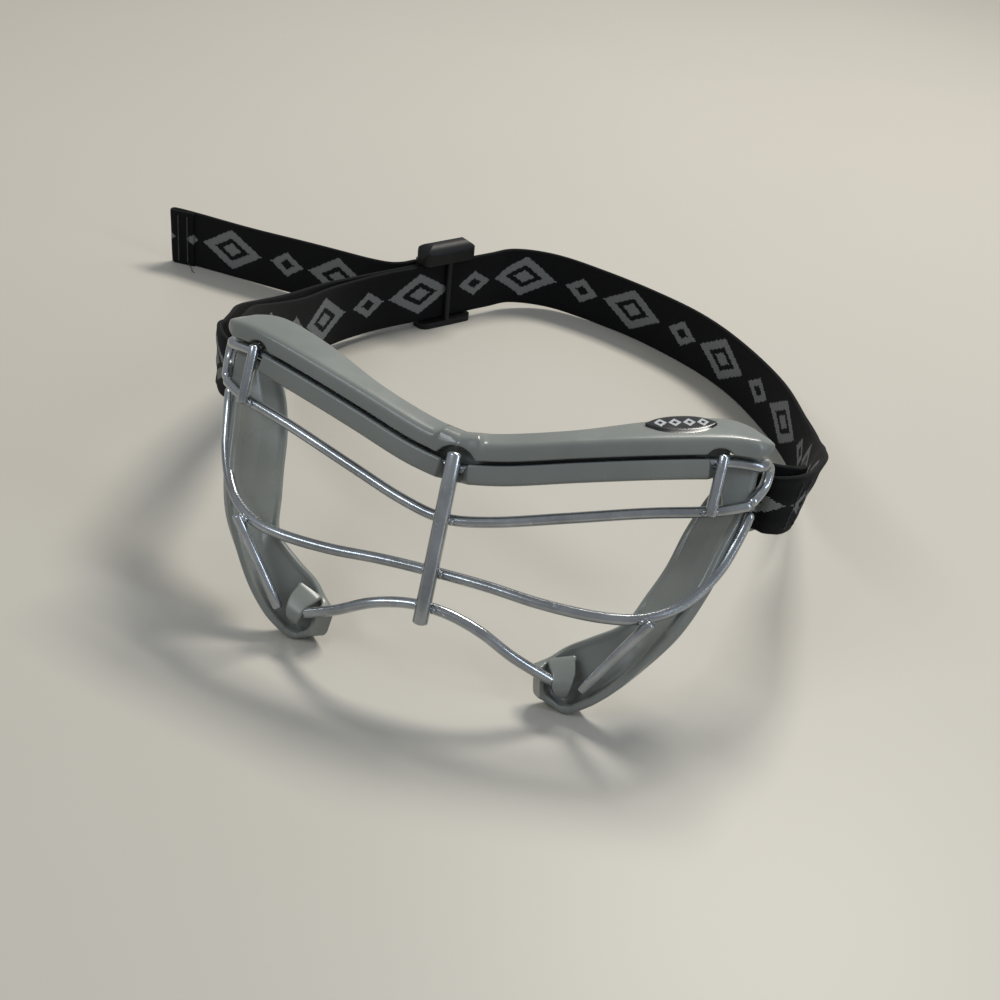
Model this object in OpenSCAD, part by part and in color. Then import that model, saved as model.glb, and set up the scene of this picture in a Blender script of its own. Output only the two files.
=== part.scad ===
// Wire-cage sports goggles: a welded cage seated in a moulded frame, on an adjustable elastic strap.
// X runs across the face, Y runs from the front of the cage back along the strap, Z is up from the table.

/* [Wires] */
// Diameter of the four cross wires
wire_d = 3.0; // [2.4:0.1:3.4]
// Diameter of the upright bar on the midline
centre_bar_d = 4.2; // [3.4:0.1:4.8]
// Length of the upright bar on the midline
centre_bar_length = 47; // [45:1:50]
// Diameter of the two short bars at the temples
temple_bar_d = 3.0; // [2.4:0.1:3.4]
// Length that a temple bar stands past each wire that it is welded to
temple_bar_overrun = 2.4; // [1.8:0.2:3.6]
// Diameter of the struts that run down into the cheek pads
strut_d = 3.0; // [2.4:0.1:3.4]
// Diameter of a weld bead
bead_d = 1.8; // [1.2:0.1:2.2]

/* [Cage] */
// Half of the width across the brow wire, to the outer side of its temple loops
half_width = 78; // [72:1:84]
// How far the cage leans back from upright, in degrees
lean_angle = 23.7; // [20:0.1:27]
// Height of the bar's lower end over the table
bar_foot_height = 22.9; // [21:0.1:25]
// Distance of the bar's lower end in front of the feet
bar_foot_reach = 11.6; // [9:0.1:14]
// Place of the brow wire, measured up the bar from its lower end
brow_station = 42.4; // [41:0.1:44]
// Place of the eye wire, measured up the bar
eye_station = 28.5; // [26:0.1:31]
// Place of the rim wire, measured up the bar
rim_station = 14.0; // [12:0.1:17]
// Place of the nose wire, measured up the bar
nose_station = 4.4; // [4:0.1:6]

/* [Brow moulding] */
// Height of the upper lip over the brow wire
upper_lip = 7.4; // [6.4:0.1:9]
// Depth of the lower lip under the brow wire
lower_lip = 4.2; // [3.4:0.1:5.4]
// Thickness of the moulding's top flange
flange_t = 2.4; // [1.8:0.1:3]
// Rise of the top flange for each millimetre that it runs back
flange_rise = 0.38; // [0.3:0.01:0.5]
// Thickness of the wall behind the groove
groove_wall = 2.2; // [1.6:0.1:2.6]
// Clearance round a wire in its groove
groove_fit = 0.4; // [0.3:0.05:0.8]
// Radius of the arched notch at the midline
centre_arch = 5.8; // [5:0.1:7]
// Radius of the arched notches over the temple bars
temple_arch = 3.9; // [3.6:0.1:4.6]

/* [Cheek pads] */
// Thickness of the pads
pad_t = 2.4; // [1.8:0.1:3]
// Height of the raised lip along the pad's outer edge
pad_lip = 2.4; // [1.5:0.1:3.2]
// Thickness of the folded clip over each end of the nose wire
clip_t = 1.8; // [1.4:0.1:2.2]
// Width of that clip
clip_w = 9; // [7:0.5:11]

/* [Strap] */
// Height of the elastic strap
strap_h = 23.5; // [20:0.5:25]
// Thickness of the elastic strap
strap_t = 1.6; // [1.2:0.1:2]
// Length of the free end past the slider
tail_length = 108; // [80:1:120]
// Length of the sewn hem at the free end
hem_length = 9; // [6:0.5:14]
// Clearance between the strap and what it passes
strap_fit = 0.4; // [0.3:0.05:0.6]
// Height of the strap where it is gathered round a post
gathered_h = 17; // [16:0.5:17.5]
// Diameter of the moulded strap posts
post_d = 3.2; // [2.8:0.1:3.6]

/* [Slider] */
// Length of the slider along the strap
slider_length = 24; // [22:0.5:28]
// Diameter of the slider's upright bars
slider_bar_d = 2.2; // [1.8:0.1:2.6]
// Thickness of the slider's lower rail
slider_base_t = 2.4; // [2:0.1:3]
// Height of the slider's domed upper rail
slider_dome_t = 7.5; // [4:0.1:9]
// Travel of the slider along the strap, each way
slider_travel = 20; // [10:1:20]

/* [Badge] */
// Length of the blank pointed-oval badge
badge_length = 17.5; // [14:0.5:20]
// Width of the badge
badge_w = 8.4; // [7:0.1:9.5]
// Thickness of the badge
badge_t = 0.8; // [0.5:0.1:1.2]

/* [Hidden] */
wire_r = wire_d / 2;
centre_bar_r = centre_bar_d / 2;
temple_bar_r = temple_bar_d / 2;
strut_r = strut_d / 2;
bead_r = bead_d / 2;
post_r = post_d / 2;
weld_gap = 0.05;
seat_gap = 0.3;
round_steps = 10;
fine = 48;

// Direction up the leaning cage, and the direction straight back through it
cage_up = [0, sin(lean_angle), cos(lean_angle)];
cage_back = [0, cos(lean_angle), -sin(lean_angle)];
bar_foot = [0, -bar_foot_reach, bar_foot_height];
bar_top = bar_foot + cage_up * centre_bar_length;

// Shape of each wire on one side of the face: distance out as a share of the half width,
// then how far back and how far up it has moved from where the wire meets the midline bar
brow_shape = [[0, 0, 0], [0.16, 2.2, 1.4], [0.385, 8.2, 3.9], [0.64, 14.8, 6.6], [0.85, 20.3, 8.2],
    [0.955, 23.4, 7.6], [0.981, 27.0, 6.3]];
loop_shape = [[0.981, 27.0, 6.3], [1.0, 27.6, 4.6], [0.997, 25.0, 0.8], [0.98, 22.2, -1.6]];
eye_shape = [[0, 0, 0], [0.16, 2.0, 1.2], [0.385, 7.4, 4.2], [0.64, 13.9, 7.6], [0.85, 19.7, 9.4],
    [0.95, 24.2, 10.7]];
rim_shape = [[0, 0, 0], [0.19, -0.4, 0], [0.385, -0.9, -0.7], [0.58, 1.0, -1.4], [0.718, 5.2, -1.3],
    [0.83, 13.2, 0.8], [0.91, 22.4, 7.0], [0.95, 30.0, 15.0], [0.962, 33.0, 19.2]];
nose_shape = [[0, 0, 0], [0.1, -0.2, -0.5], [0.205, -0.8, -2.4], [0.32, -0.7, -6.8], [0.436, 1.8, -11.5],
    [0.462, 3.4, -13.2]];

// Depth of the brow moulding's top flange behind the wire, at the same seven places as the brow wire
flange_depths = [4.6, 4.3, 4.4, 7.8, 10.0, 8.0, 6.0];

// Outer and inner edge of the right cheek pad, from the temple down to its foot
pad_outer_edge = [[77.6, 35, 58], [77.4, 33, 50.5], [75.5, 26.5, 43], [72, 19.5, 34], [67.5, 13.5, 23],
    [60.5, 8, 11.5], [52.5, 3.5, 4], [44, 0.5, 0.4], [36, -1.5, -0.4], [30.5, -2.5, 3.2]];
pad_inner_edge = [[70, 44.5, 57], [67, 42, 48], [63.5, 36, 39], [60.5, 30, 31], [56.5, 23, 25],
    [50, 16, 20], [43, 11, 15.5], [37.5, 8, 11], [33, 5.5, 8.5], [29.5, 2.5, 7.8]];

// Strut on the right side, from its weld on the rim wire down to the pad
strut_foot = [43.6, -3.4, 9.4];

// Straight stretch of the strap that carries the slider
slide_angle = 53.13;
slide_dir = [cos(slide_angle), sin(slide_angle), 0];
slide_out = [-sin(slide_angle), cos(slide_angle), 0];
slider_seat = [-70.5, 210, 0];
slider_lift = slider_base_t + strap_fit;
strap_mid = strap_h / 2;
slide_mid = slider_lift + strap_mid;
layer_step = strap_t + strap_fit;
stretch = slider_length / 2 + slider_travel;
return_end = -slider_length / 2;
bar_line = layer_step + strap_t / 2 + strap_fit / 2 + slider_bar_d / 2 + 0.1;
fold_r = bar_line - layer_step;
outer_layer = bar_line + fold_r;
end_bar_x = slider_length / 2 - slider_bar_d / 2 - 0.4;

// Strap posts behind the temple loops: foot and head of the right post, and the strap's place on it
post_foot = [79.7, 40.6, 44.2];
post_head = [79.4, 43.4, 71.0];
post_axis = (post_head - post_foot) / norm(post_head - post_foot);
wrap_r = post_r + strap_fit + strap_t / 2;

wire_colour = [0.50, 0.52, 0.54];
moulding_colour = [0.42, 0.44, 0.43];
webbing_colour = [0.05, 0.05, 0.06];
motif_colour = [0.30, 0.31, 0.32];

function unit(v) = v / norm(v);
function mix(a, b, t) = a * (1 - t) + b * t;

// Smooth curve through points: a cubic between each pair, with slopes from the neighbours
function curve_point(p, i, t) = let (
    a = p[max(i - 1, 0)], b = p[i], c = p[i + 1], d = p[min(i + 2, len(p) - 1)])
    0.5 * (2 * b + (c - a) * t + (2 * a - 5 * b + 4 * c - d) * t * t + (3 * b - a - 3 * c + d) * t * t * t);
function curve(p, steps) = concat(
    [for (i = [0 : len(p) - 2]) for (k = [0 : steps - 1]) curve_point(p, i, k / steps)],
    [p[len(p) - 1]]);
function tangent(p, i) = unit(p[min(i + 1, len(p) - 1)] - p[max(i - 1, 0)]);
function mirror_x(v) = [-v[0], v[1], v[2]];
function both_sides(half) = concat([for (i = [len(half) - 1 : -1 : 1]) mirror_x(half[i])], half);

// Ring of profile points round a place on a path: first coordinate sideways, second along up
function ring(place, along, up, profile) = let (side = unit(cross(along, up)), top = cross(side, along))
    [for (q = profile) place + q[0] * side + q[1] * top];
function disc(r, sides) = [for (k = [0 : sides - 1]) r * [cos(360 * k / sides), sin(360 * k / sides)]];
function slab(t, h) = [[t / 2, -h / 2], [t / 2, h / 2], [-t / 2, h / 2], [-t / 2, -h / 2]];
// Oblong section with rounded corners
function rounded(t, h, r) = [for (corner = [0 : 3]) for (k = [0 : 2]) let (
    sx = (corner == 0 || corner == 3) ? 1 : -1, sy = corner < 2 ? 1 : -1, a = corner * 90 + k * 45)
    [sx * (t / 2 - r) + r * cos(a), sy * (h / 2 - r) + r * sin(a)]];

// Solid skin over a list of rings with equal numbers of points
module loft(rings) {
    n = len(rings);
    m = len(rings[0]);
    points = [for (r = rings) for (p = r) p];
    sides = [for (i = [0 : n - 2]) for (j = [0 : m - 1]) let (k = (j + 1) % m)
        for (f = [[i * m + j, i * m + k, (i + 1) * m + k], [i * m + j, (i + 1) * m + k, (i + 1) * m + j]]) f];
    first = [[for (j = [m - 1 : -1 : 0]) j]];
    last = [[for (j = [0 : m - 1]) (n - 1) * m + j]];
    polyhedron(points = points, faces = concat(sides, first, last), convexity = 8);
}
module sweep(path, up, profile) {
    loft([for (i = [0 : len(path) - 1]) ring(path[i], tangent(path, i), up, profile)]);
}
module place() {
    translate(origin_shift) children();
}
module on_side(side) {
    if (side > 0) children();
    else mirror([1, 0, 0]) children();
}
// Round rod between two points, as a true cylinder
module rod(a, b, r) {
    v = b - a;
    translate(a)
        rotate([0, acos(v[2] / norm(v)), atan2(v[1], v[0])])
            cylinder(r = r, h = norm(v), $fn = fine);
}

// Where a wire crosses behind the midline bar, and the wire's points out from there
function crossing(station) = bar_foot + cage_up * station
    + cage_back * (centre_bar_r + wire_r + weld_gap);
function wire_points(shape, station) = [for (s = shape)
    crossing(station) + [s[0] * half_width, s[1], s[2]]];
brow_half = wire_points(brow_shape, brow_station);
eye_half = wire_points(eye_shape, eye_station);
rim_half = wire_points(rim_shape, rim_station);
nose_half = wire_points(nose_shape, nose_station);
loop_half = wire_points(loop_shape, brow_station);
loop_end = eye_half[len(eye_half) - 1];

module brow_wire() {
    half = concat(brow_half, [loop_half[1], loop_half[2]], [loop_end + [1.2, 1.6, 0.9]]);
    color(wire_colour) place() sweep(curve(both_sides(half), 4), cage_back, disc(wire_r, round_steps));
}
// Room for a wire where it runs through a moulding, from one of its points to another
module wire_channel(points) {
    sweep(curve(points, 4), cage_back, disc((wire_r + groove_fit) * 1.03, round_steps));
}
module eye_wire() {
    color(wire_colour) place() sweep(curve(both_sides(eye_half), 4), cage_back, disc(wire_r, round_steps));
}
module rim_wire() {
    color(wire_colour) place() sweep(curve(both_sides(rim_half), 4), cage_back, disc(wire_r, round_steps));
}
module nose_wire() {
    color(wire_colour) place() sweep(curve(both_sides(nose_half), 4), cage_back, disc(wire_r, round_steps));
}
module centre_bar() {
    color(wire_colour) place() rod(bar_foot, bar_top, centre_bar_r);
}

// Temple bar: lies across the front of the brow and eye wires, parallel to the line between them
temple_share = 0.83;
function at_share(half, share) = let (
    x = share * half_width,
    i = max([for (k = [0 : len(half) - 2]) if (half[k][0] <= x) k]),
    t = (x - half[i][0]) / (half[i + 1][0] - half[i][0]))
    curve_point(half, i, t);
temple_upper = at_share(brow_half, temple_share);
temple_lower = at_share(eye_half, temple_share);
temple_up = unit(temple_upper - temple_lower);
temple_along = unit(at_share(eye_half, temple_share + 0.02) - at_share(eye_half, temple_share - 0.02));
temple_front = unit(cross(temple_along, temple_up));
temple_step = temple_front * (temple_bar_r + wire_r + weld_gap);
temple_bar_foot = temple_lower + temple_step - temple_up * temple_bar_overrun;
temple_bar_head = temple_upper + temple_step + temple_up * temple_bar_overrun;

module temple_bar(side) {
    color(wire_colour) place() on_side(side) rod(temple_bar_foot, temple_bar_head, temple_bar_r);
}

strut_weld = rim_half[4];
strut_down = unit(strut_foot - strut_weld);
strut_front = unit(cross(tangent(rim_half, 4), -strut_down));
strut_top = strut_weld + strut_front * (strut_r + wire_r + weld_gap * 3) - strut_down * strut_r;
module cheek_strut(side) {
    color(wire_colour) place() on_side(side) rod(strut_top, strut_foot, strut_r);
}

// Beads sit in the corner beside an upright and in front of the wire that it is welded to
function bead_rise(upright_r) = upright_r - bead_r;
function bead_out(upright_r) = sqrt(pow(upright_r + bead_r + weld_gap, 2) - pow(bead_rise(upright_r), 2)) + 0.02;
module bead(place_at) {
    translate(place_at) sphere(r = bead_r, $fn = 24);
}
module weld_beads() {
    color(wire_colour) place() {
        for (station = [eye_station, rim_station, nose_station])
            for (side = [-1, 1])
                bead(bar_foot + cage_up * station + cage_back * bead_rise(centre_bar_r)
                    + [side * bead_out(centre_bar_r), 0, 0]);
        for (side = [-1, 1])
            on_side(side)
                for (way = [-1, 1])
                    bead(temple_lower + temple_step - temple_front * bead_rise(temple_bar_r)
                        + temple_along * way * bead_out(temple_bar_r));
        for (side = [-1, 1])
            on_side(side)
                for (way = [-1, 1])
                    bead(strut_weld + strut_front * (strut_r + wire_r + weld_gap * 3 - bead_rise(strut_r))
                        + cross(strut_front, strut_down) * way * bead_out(strut_r));
    }
}

// Brow moulding: a C section with its groove to the front, which holds the brow wire.
// The upper lip rises in a round arch over each bar, and the top flange swells into a wing by each temple.
// Past the groove's end the wire turns down out of the moulding: first the lower lip ends, then the wall
// behind the wire, and only the solid tip goes on.
groove_half = wire_r + groove_fit;
groove_end = half_width - 7.2;
wall_end = groove_end + 2;
function arch(distance, radius) = abs(distance) < radius ? sqrt(radius * radius - distance * distance) : 0;
function lip_height(x) = max(groove_half, arch(x, centre_arch),
    arch(abs(x) - temple_share * half_width, temple_arch));
function bar_relief(x) = max(0, 1 - abs(x) / (centre_bar_r + 1.6),
    1 - abs(abs(x) - temple_share * half_width) / (temple_bar_r + 1.4));
function brow_profile(x, depth) = let (
    back = groove_half + groove_wall,
    lip = lip_height(x),
    ridge = upper_lip + flange_rise * depth,
    low_front = 2.4 - 1.9 * min(1, 1.6 * bar_relief(x)),
    top = [[2.7, lip], [2.8, max(upper_lip - 2.2, lip + 0.6)], [2.3, upper_lip - 0.7], [1.1, upper_lip],
        [-depth + 0.5, ridge], [-depth, ridge - 0.7], [-depth + 0.4, ridge - flange_t],
        [-back - 0.1, upper_lip + flange_rise * back - flange_t - 0.4],
        [-back, upper_lip - flange_t - 0.8]],
    groove = [[-back, 1 - lower_lip], [-back + 1.2, -lower_lip], [low_front - 0.9, -lower_lip],
        [low_front, 0.9 - lower_lip], [low_front, -groove_half], [-groove_half, -groove_half],
        [-groove_half, lip]],
    wall = [[-back, 1 - lower_lip], [-back + 1.2, -lower_lip], [-groove_half - 0.5, -lower_lip],
        [-groove_half, 0.5 - lower_lip], [-groove_half, -groove_half - 0.4], [-groove_half, -groove_half],
        [-groove_half, lip]],
    plain = [for (k = [0 : 6]) [mix(-back, -groove_half, k / 6), lip]])
    concat(top, abs(x) < groove_end ? groove : abs(x) < wall_end ? wall : plain);
brow_x = concat([for (k = [0 : 6]) k * centre_arch / 6], [10, 16, 23, 31, 39, 47, 54],
    [for (k = [-4 : 4]) temple_share * half_width + k * temple_arch / 4], [70.6, 72.6, 74, 75.6, 77.6, 79.2]);
brow_spine = concat([for (i = [0 : 5]) [brow_half[i][0], brow_half[i][1], brow_half[i][2], flange_depths[i]]],
    [[half_width + 3, brow_half[5][1] + 3.4, brow_half[5][2] - 0.6, flange_depths[6]]]);
function on_spine(x) = let (
    i = max([for (k = [0 : len(brow_spine) - 2]) if (brow_spine[k][0] <= x) k]),
    t = (x - brow_spine[i][0]) / (brow_spine[i + 1][0] - brow_spine[i][0]))
    curve_point(brow_spine, i, t);
function first_three(v) = [v[0], v[1], v[2]];
module brow_pad() {
    half = [for (x = brow_x) on_spine(x)];
    path = both_sides([for (h = half) first_three(h)]);
    depths = concat([for (i = [len(half) - 1 : -1 : 1]) half[i][3]], [for (h = half) h[3]]);
    color(moulding_colour) place()
        loft([for (i = [0 : len(path) - 1])
            ring(path[i], tangent(path, i), cage_up, brow_profile(path[i][0], depths[i]))]);
}

// Cheek pad: a band from the temple to the foot, with a raised lip along its outer edge
function pad_ring(outer, inner, along) = let (
    across = unit(inner - outer), w = norm(inner - outer), face = -unit(cross(along, across)))
    [for (q = [[0, 0], [w - 0.8, 0], [w, 0.9], [w - 0.7, pad_t], [3.2, pad_t], [2.0, pad_t + 0.5],
        [1.5, pad_t + pad_lip], [-0.2, pad_t + pad_lip], [-0.9, pad_t + pad_lip - 0.8], [-0.9, 0.8]])
        outer + q[0] * across + q[1] * face];
module side_pad(side) {
    outer = curve(pad_outer_edge, 3);
    inner = curve(pad_inner_edge, 3);
    middle = [for (i = [0 : len(outer) - 1]) (outer[i] + inner[i]) / 2];
    color(moulding_colour) place() on_side(side)
        difference() {
            loft([for (i = [0 : len(outer) - 1]) pad_ring(outer[i], inner[i], tangent(middle, i))]);
            translate([0, -20, -20]) cube([100, 60, 20]);
            wire_channel([for (i = [4 : 8]) rim_half[i]]);
        }
}

// Clip: a tongue that comes over the end of the nose wire and turns down in front of it
nose_end = nose_half[len(nose_half) - 1];
nose_run = unit(nose_half[5] - nose_half[4]);
clip_route = [[4.5, 3.3], [3.6, 3.9], [1.6, 3.9], [-2.0, 3.2], [-3.7, 0.4], [-3.4, -4.4]];
clip_back = unit(cage_back - nose_run * (cage_back * nose_run));
clip_up = cross(clip_back, nose_run);
module cheek_clip(side) {
    route = curve([for (c = clip_route)
        nose_end - nose_run * clip_w * 0.18 + clip_back * c[0] + clip_up * c[1]], 4);
    color(moulding_colour) place() on_side(side)
        loft([for (i = [0 : len(route) - 1])
            ring(route[i], tangent(route, i), nose_run,
                rounded(clip_t, clip_w * (1 - 0.35 * i / (len(route) - 1)), 0.6))]);
}

// Panel: the dished wall inside each temple loop
panel_x = [0.865, 0.895, 0.925, 0.95];
panel_t = 1.6;
module temple_panel(side) {
    upper = [for (s = panel_x) at_share(brow_half, s)];
    lower = [for (s = panel_x) at_share(eye_half, min(s, 0.945))];
    top = [for (i = [0 : 3]) upper[i] - temple_up * (lower_lip + 2 * seat_gap)];
    foot = [for (i = [0 : 3]) lower[i] - temple_up * wire_r / 2];
    middle = [for (i = [0 : 3]) (top[i] + foot[i]) / 2 - temple_front * (wire_r + panel_t / 2 + seat_gap)];
    color(moulding_colour) place() on_side(side)
        loft([for (i = [0 : 3])
            ring(middle[i], tangent(middle, i), temple_up, slab(panel_t, norm(top[i] - foot[i])))]);
}

// Strap post: an upright moulded loop behind the temple, with an arm at each end
module strap_post(side) {
    route = curve([post_head, mix(post_head, post_foot, 0.3), mix(post_head, post_foot, 0.7), post_foot,
        post_foot + [-1.6, -1.4, -1.6], post_foot + [-5, -4.6, -1.2], post_foot + [-7.2, -7.4, 0.2]], 4);
    color(moulding_colour) place() on_side(side) sweep(route, [0.3, 1, 0.3], disc(post_r, 12));
}

// Blank badge on the right wing of the brow moulding
badge_share = 0.714;
badge_back = 4.6;
function flange_height(back, depth) = upper_lip + flange_rise * depth * (back + 1.1) / (depth + 0.6);
module badge() {
    stations = [for (k = [-5 : 5]) k / 5];
    spine = [for (k = stations) on_spine(badge_share * half_width + k * badge_length / 2 * 0.93)];
    path = [for (s = spine) first_three(s)];
    lift = badge_t / 2 + seat_gap / 2;
    color("black") place()
        loft([for (i = [0 : 10]) let (
            along = tangent(path, i), side = unit(cross(along, cage_up)), top = cross(side, along),
            w = 0.5 + (badge_w - 0.5) * (1 - stations[i] * stations[i]))
            [for (q = [[w / 2, -badge_t / 2], [w / 2 - 0.2, badge_t / 2], [0.2 - w / 2, badge_t / 2],
                [-w / 2, -badge_t / 2]])
                path[i] + side * (q[0] - badge_back)
                    + top * (lift + q[1] + flange_height(badge_back - q[0], spine[i][3]))]]);
}

// Strap routes: points on the middle line of the webbing, how far its upper edge leans back there,
// and its height there as a share of the strap's
gathered = gathered_h / strap_h;
post_lean = post_axis[1] / post_axis[2];
function stop(p, lean = 0, share = 1) = [p[0], p[1], p[2], lean, share];
function slide_stop(along, out) = stop(slider_seat + slide_dir * along + slide_out * out + [0, 0, slide_mid]);
join_gap = 0.3;
right_join = [89.2, 62, 49.6];
right_run = unit([-0.6, 20, -6]);
band_join = [-88.4, 62, 49];
band_run = unit([5, -21, 7]);
return_join = [-92.2, 60, 49];
return_run = unit([-5.5, 21, -7]);
band_route = concat(
    [stop(right_join), stop(right_join + right_run * 12)],
    [for (p = [[88.6, 88, 37.5], [86.8, 112, 24.5], [79.6, 148, 13.6], [68, 175.5, strap_mid + 0.35],
        [51, 199, strap_mid + 0.15], [31, 217.5, strap_mid + 0.06], [8, 231, strap_mid + 0.03], [-14, 239, strap_mid + 0.25],
        [-36, 242.5, strap_mid + 1.2]]) stop(p)],
    [for (q = [[1, -1], [0.67, -0.2], [0.34, 0], [-0.34, 0], [-1, 0]])
        slide_stop(q[0] * stretch, q[1] * strap_fit)],
    [for (p = [[-98, 166, 15.5], [-101, 142, 19.5], [-101, 116, 27.5], [-97, 91, 37.5]]) stop(p)],
    [stop(band_join - band_run * 12), stop(band_join)]);
return_route = concat(
    [stop(return_join), stop(return_join + return_run * 12)],
    [for (p = [[-101.6, 89.4, 37.5], [-106.6, 116, 27.5], [-106.2, 144, 19.5], [-101.6, 168, 15.5]]) stop(p)],
    [for (a = [-stretch, (return_end - stretch) / 2, return_end]) slide_stop(a, layer_step)]);
// Length of webbing along a route; the end faces stand square to the given directions
module webbing(route, steps, from_run, to_run) {
    c = curve(route, steps);
    path = [for (p = c) first_three(p)];
    last = len(path) - 1;
    color(webbing_colour) place()
        loft([for (i = [0 : last]) let (run = i == 0 ? from_run : i == last ? to_run : tangent(path, i))
            ring(path[i], run, [0, c[i][3], 1], slab(strap_t, strap_h * c[i][4]))]);
}
module strap_band() {
    webbing(band_route, 4, right_run, band_run);
}
module strap_return() {
    webbing(return_route, 4, return_run, slide_dir);
}

// Left wrap: the webbing goes round the post and joins the band to the returning layer
post_strap_z = 54.6;
function round_post(a, side) = let (
    c = mix(post_foot, post_head, (post_strap_z - post_foot[2]) / (post_head[2] - post_foot[2])))
    stop([side * c[0] + wrap_r * cos(a), c[1] + wrap_r * sin(a), c[2]], post_lean, gathered);
module strap_wrap_left() {
    webbing(concat([stop(band_join + band_run * join_gap), stop(band_join + band_run * 5, 0, 0.97),
            stop([-85.2, 51.6, 52.6], post_lean / 2, 0.86)],
        [for (a = [30 : -30 : -150]) round_post(a, -1)],
        [stop([-87.4, 48.4, 52.6], post_lean / 2, 0.86), stop(return_join - return_run * 5, 0, 0.97),
            stop(return_join - return_run * join_gap)]), 3, band_run, return_run);
}
// Right loop: the sewn end goes round the post and lies back on the webbing
loop_route = concat([stop([86.9, 60, 50.2], 0, 1), stop([86.4, 54.2, 52], 0, 0.94),
        stop([84.6, 48.6, 53.8], post_lean / 2, 0.84)],
    [for (a = [100 : 30 : 280]) round_post(a, 1)],
    [stop([85.2, 40.2, 54.4], post_lean / 2, 0.78), stop([88, 46.4, 53.6], 0, 0.88),
        stop(right_join - right_run * 7, 0, 0.97), stop(right_join - right_run * join_gap)]);
module strap_loop_right() {
    webbing(loop_route, 3, [0, -1, 0], right_run);
}
loop_outer = curve(loop_route, 3);
stitch_places = [len(loop_outer) - 6, len(loop_outer) - 4];
stitch_t = 0.4;
stitch_w = 1.0;
module loop_stitches() {
    color(motif_colour) place()
        for (i = stitch_places)
            stitch_row(first_three(loop_outer[i]),
                unit(first_three(loop_outer[i + 1]) - first_three(loop_outer[i - 1])), 1);
}
// Row of stitches across the webbing, on the face that points to the given side
module stitch_row(at, run, face) {
    out = unit(cross(run, [0, 0, 1])) * face;
    loft([for (k = [-0.5, 0.5]) ring(at + run * stitch_w * k + out * (strap_t / 2 + stitch_t / 2 + weld_gap),
        run, [0, 0, 1], slab(stitch_t, strap_h * 0.86))]);
}

// Slider: rails above and below the webbing, joined by end bars outside it and a middle bar inside it
slider_inner = -(strap_t / 2 + strap_fit + slider_bar_d);
slider_outer = bar_line + slider_bar_d / 2;
module on_slider() {
    translate(slider_seat) rotate([0, 0, slide_angle]) children();
}
// Oblong with round corners, and the same with only its upper corners round, standing on the X axis
module oblong(w, h, r) {
    square([w, h - 2 * r], center = true);
    square([w - 2 * r, h], center = true);
    for (x = [-1, 1])
        for (y = [-1, 1])
            translate([x * (w / 2 - r), y * (h / 2 - r)]) circle(r = r, $fn = fine);
}
module dome_outline(w, r) {
    translate([-w / 2, 0]) square([w, slider_dome_t - r]);
    translate([r - w / 2, 0]) square([w - 2 * r, slider_dome_t]);
    for (x = [-1, 1])
        translate([x * (w / 2 - r), slider_dome_t - r]) circle(r = r, $fn = fine);
}
rail_w = slider_outer - slider_inner;
rail_r = 3.2;
dome_end_r = 5.6;
dome_side_r = 3.9;
module rail(h) {
    translate([0, (slider_outer + slider_inner) / 2, 0])
        linear_extrude(h) oblong(slider_length, rail_w, rail_r);
}
module slider() {
    top = slider_lift + strap_h + strap_fit;
    middle = (slider_outer + slider_inner) / 2;
    color("black") place() on_slider() {
        rail(slider_base_t);
        translate([0, 0, top])
            intersection() {
                rail(slider_dome_t);
                translate([0, middle + rail_w, 0])
                    rotate([90, 0, 0]) linear_extrude(2 * rail_w) dome_outline(slider_length, dome_end_r);
                translate([-slider_length, middle, 0])
                    rotate([90, 0, 90]) linear_extrude(2 * slider_length) dome_outline(rail_w, dome_side_r);
            }
        for (x = [-1, 1])
            translate([x * end_bar_x, bar_line, slider_base_t / 2])
                cylinder(d = slider_bar_d, h = top, $fn = fine);
        translate([0, slider_inner + slider_bar_d / 2, slider_base_t / 2])
            cylinder(d = slider_bar_d, h = top, $fn = fine);
    }
}
// Fold: the webbing turns round the slider's end bar and runs back over its outer side
fold_route = concat([[end_bar_x - 1.2, layer_step]],
    [for (a = [-90 : 30 : 90]) [end_bar_x + fold_r * cos(a), bar_line + fold_r * sin(a)]],
    [[0, outer_layer], [join_gap - slider_length / 2, outer_layer]]);
module strap_fold() {
    webbing([for (q = fold_route) slide_stop(q[0], q[1])], 2, slide_dir, -slide_dir);
}
// Extent of the whole part, used to put the origin at the centre of its footprint
reach_left = slider_seat[0] + slide_dir[0] * -slider_length / 2 + slide_out[0] * outer_layer - tail_length;
reach_right = max([for (p = curve(loop_route, 3)) p[0]]) + strap_t / 2;
reach_front = -bar_foot_reach - centre_bar_r * cos(lean_angle);
reach_back = max([for (p = curve(band_route, 4)) p[1]]) + strap_t / 2;
origin_shift = [-(reach_left + reach_right) / 2, -(reach_front + reach_back) / 2, 0];

tail_start = first_three(slide_stop(-slider_length / 2, outer_layer));
tail_end = [reach_left, tail_start[1] + 7.5, strap_mid];
tail_mid = mix(tail_start + [-30, -2, -2], tail_end, 0.5);
tail_route = [for (p = [tail_start, tail_start - slide_dir * 4, tail_start + [-6.4, -5.4, -0.2],
    tail_start + [-14, -5.4, -0.6], tail_start + [-30, -2, -1.6], tail_mid, tail_end]) stop(p)];
module strap_tail() {
    webbing(tail_route, 5, -slide_dir, tail_run);
}
tail_run = unit(tail_end - tail_mid);
module tail_hem() {
    side = unit(cross(tail_run, [0, 0, 1]));
    from = tail_end - tail_run * hem_length - side * (strap_t + weld_gap);
    color(webbing_colour) place()
        loft([for (k = [0, 1]) ring(from + tail_run * (hem_length - 0.2) * k, tail_run, [0, 0, 1],
            slab(strap_t, strap_h))]);
}
module tail_stitches() {
    color(motif_colour) place()
        for (share = [0.25, 0.75])
            stitch_row(tail_end - tail_run * hem_length * share, tail_run, 1);
}

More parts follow.
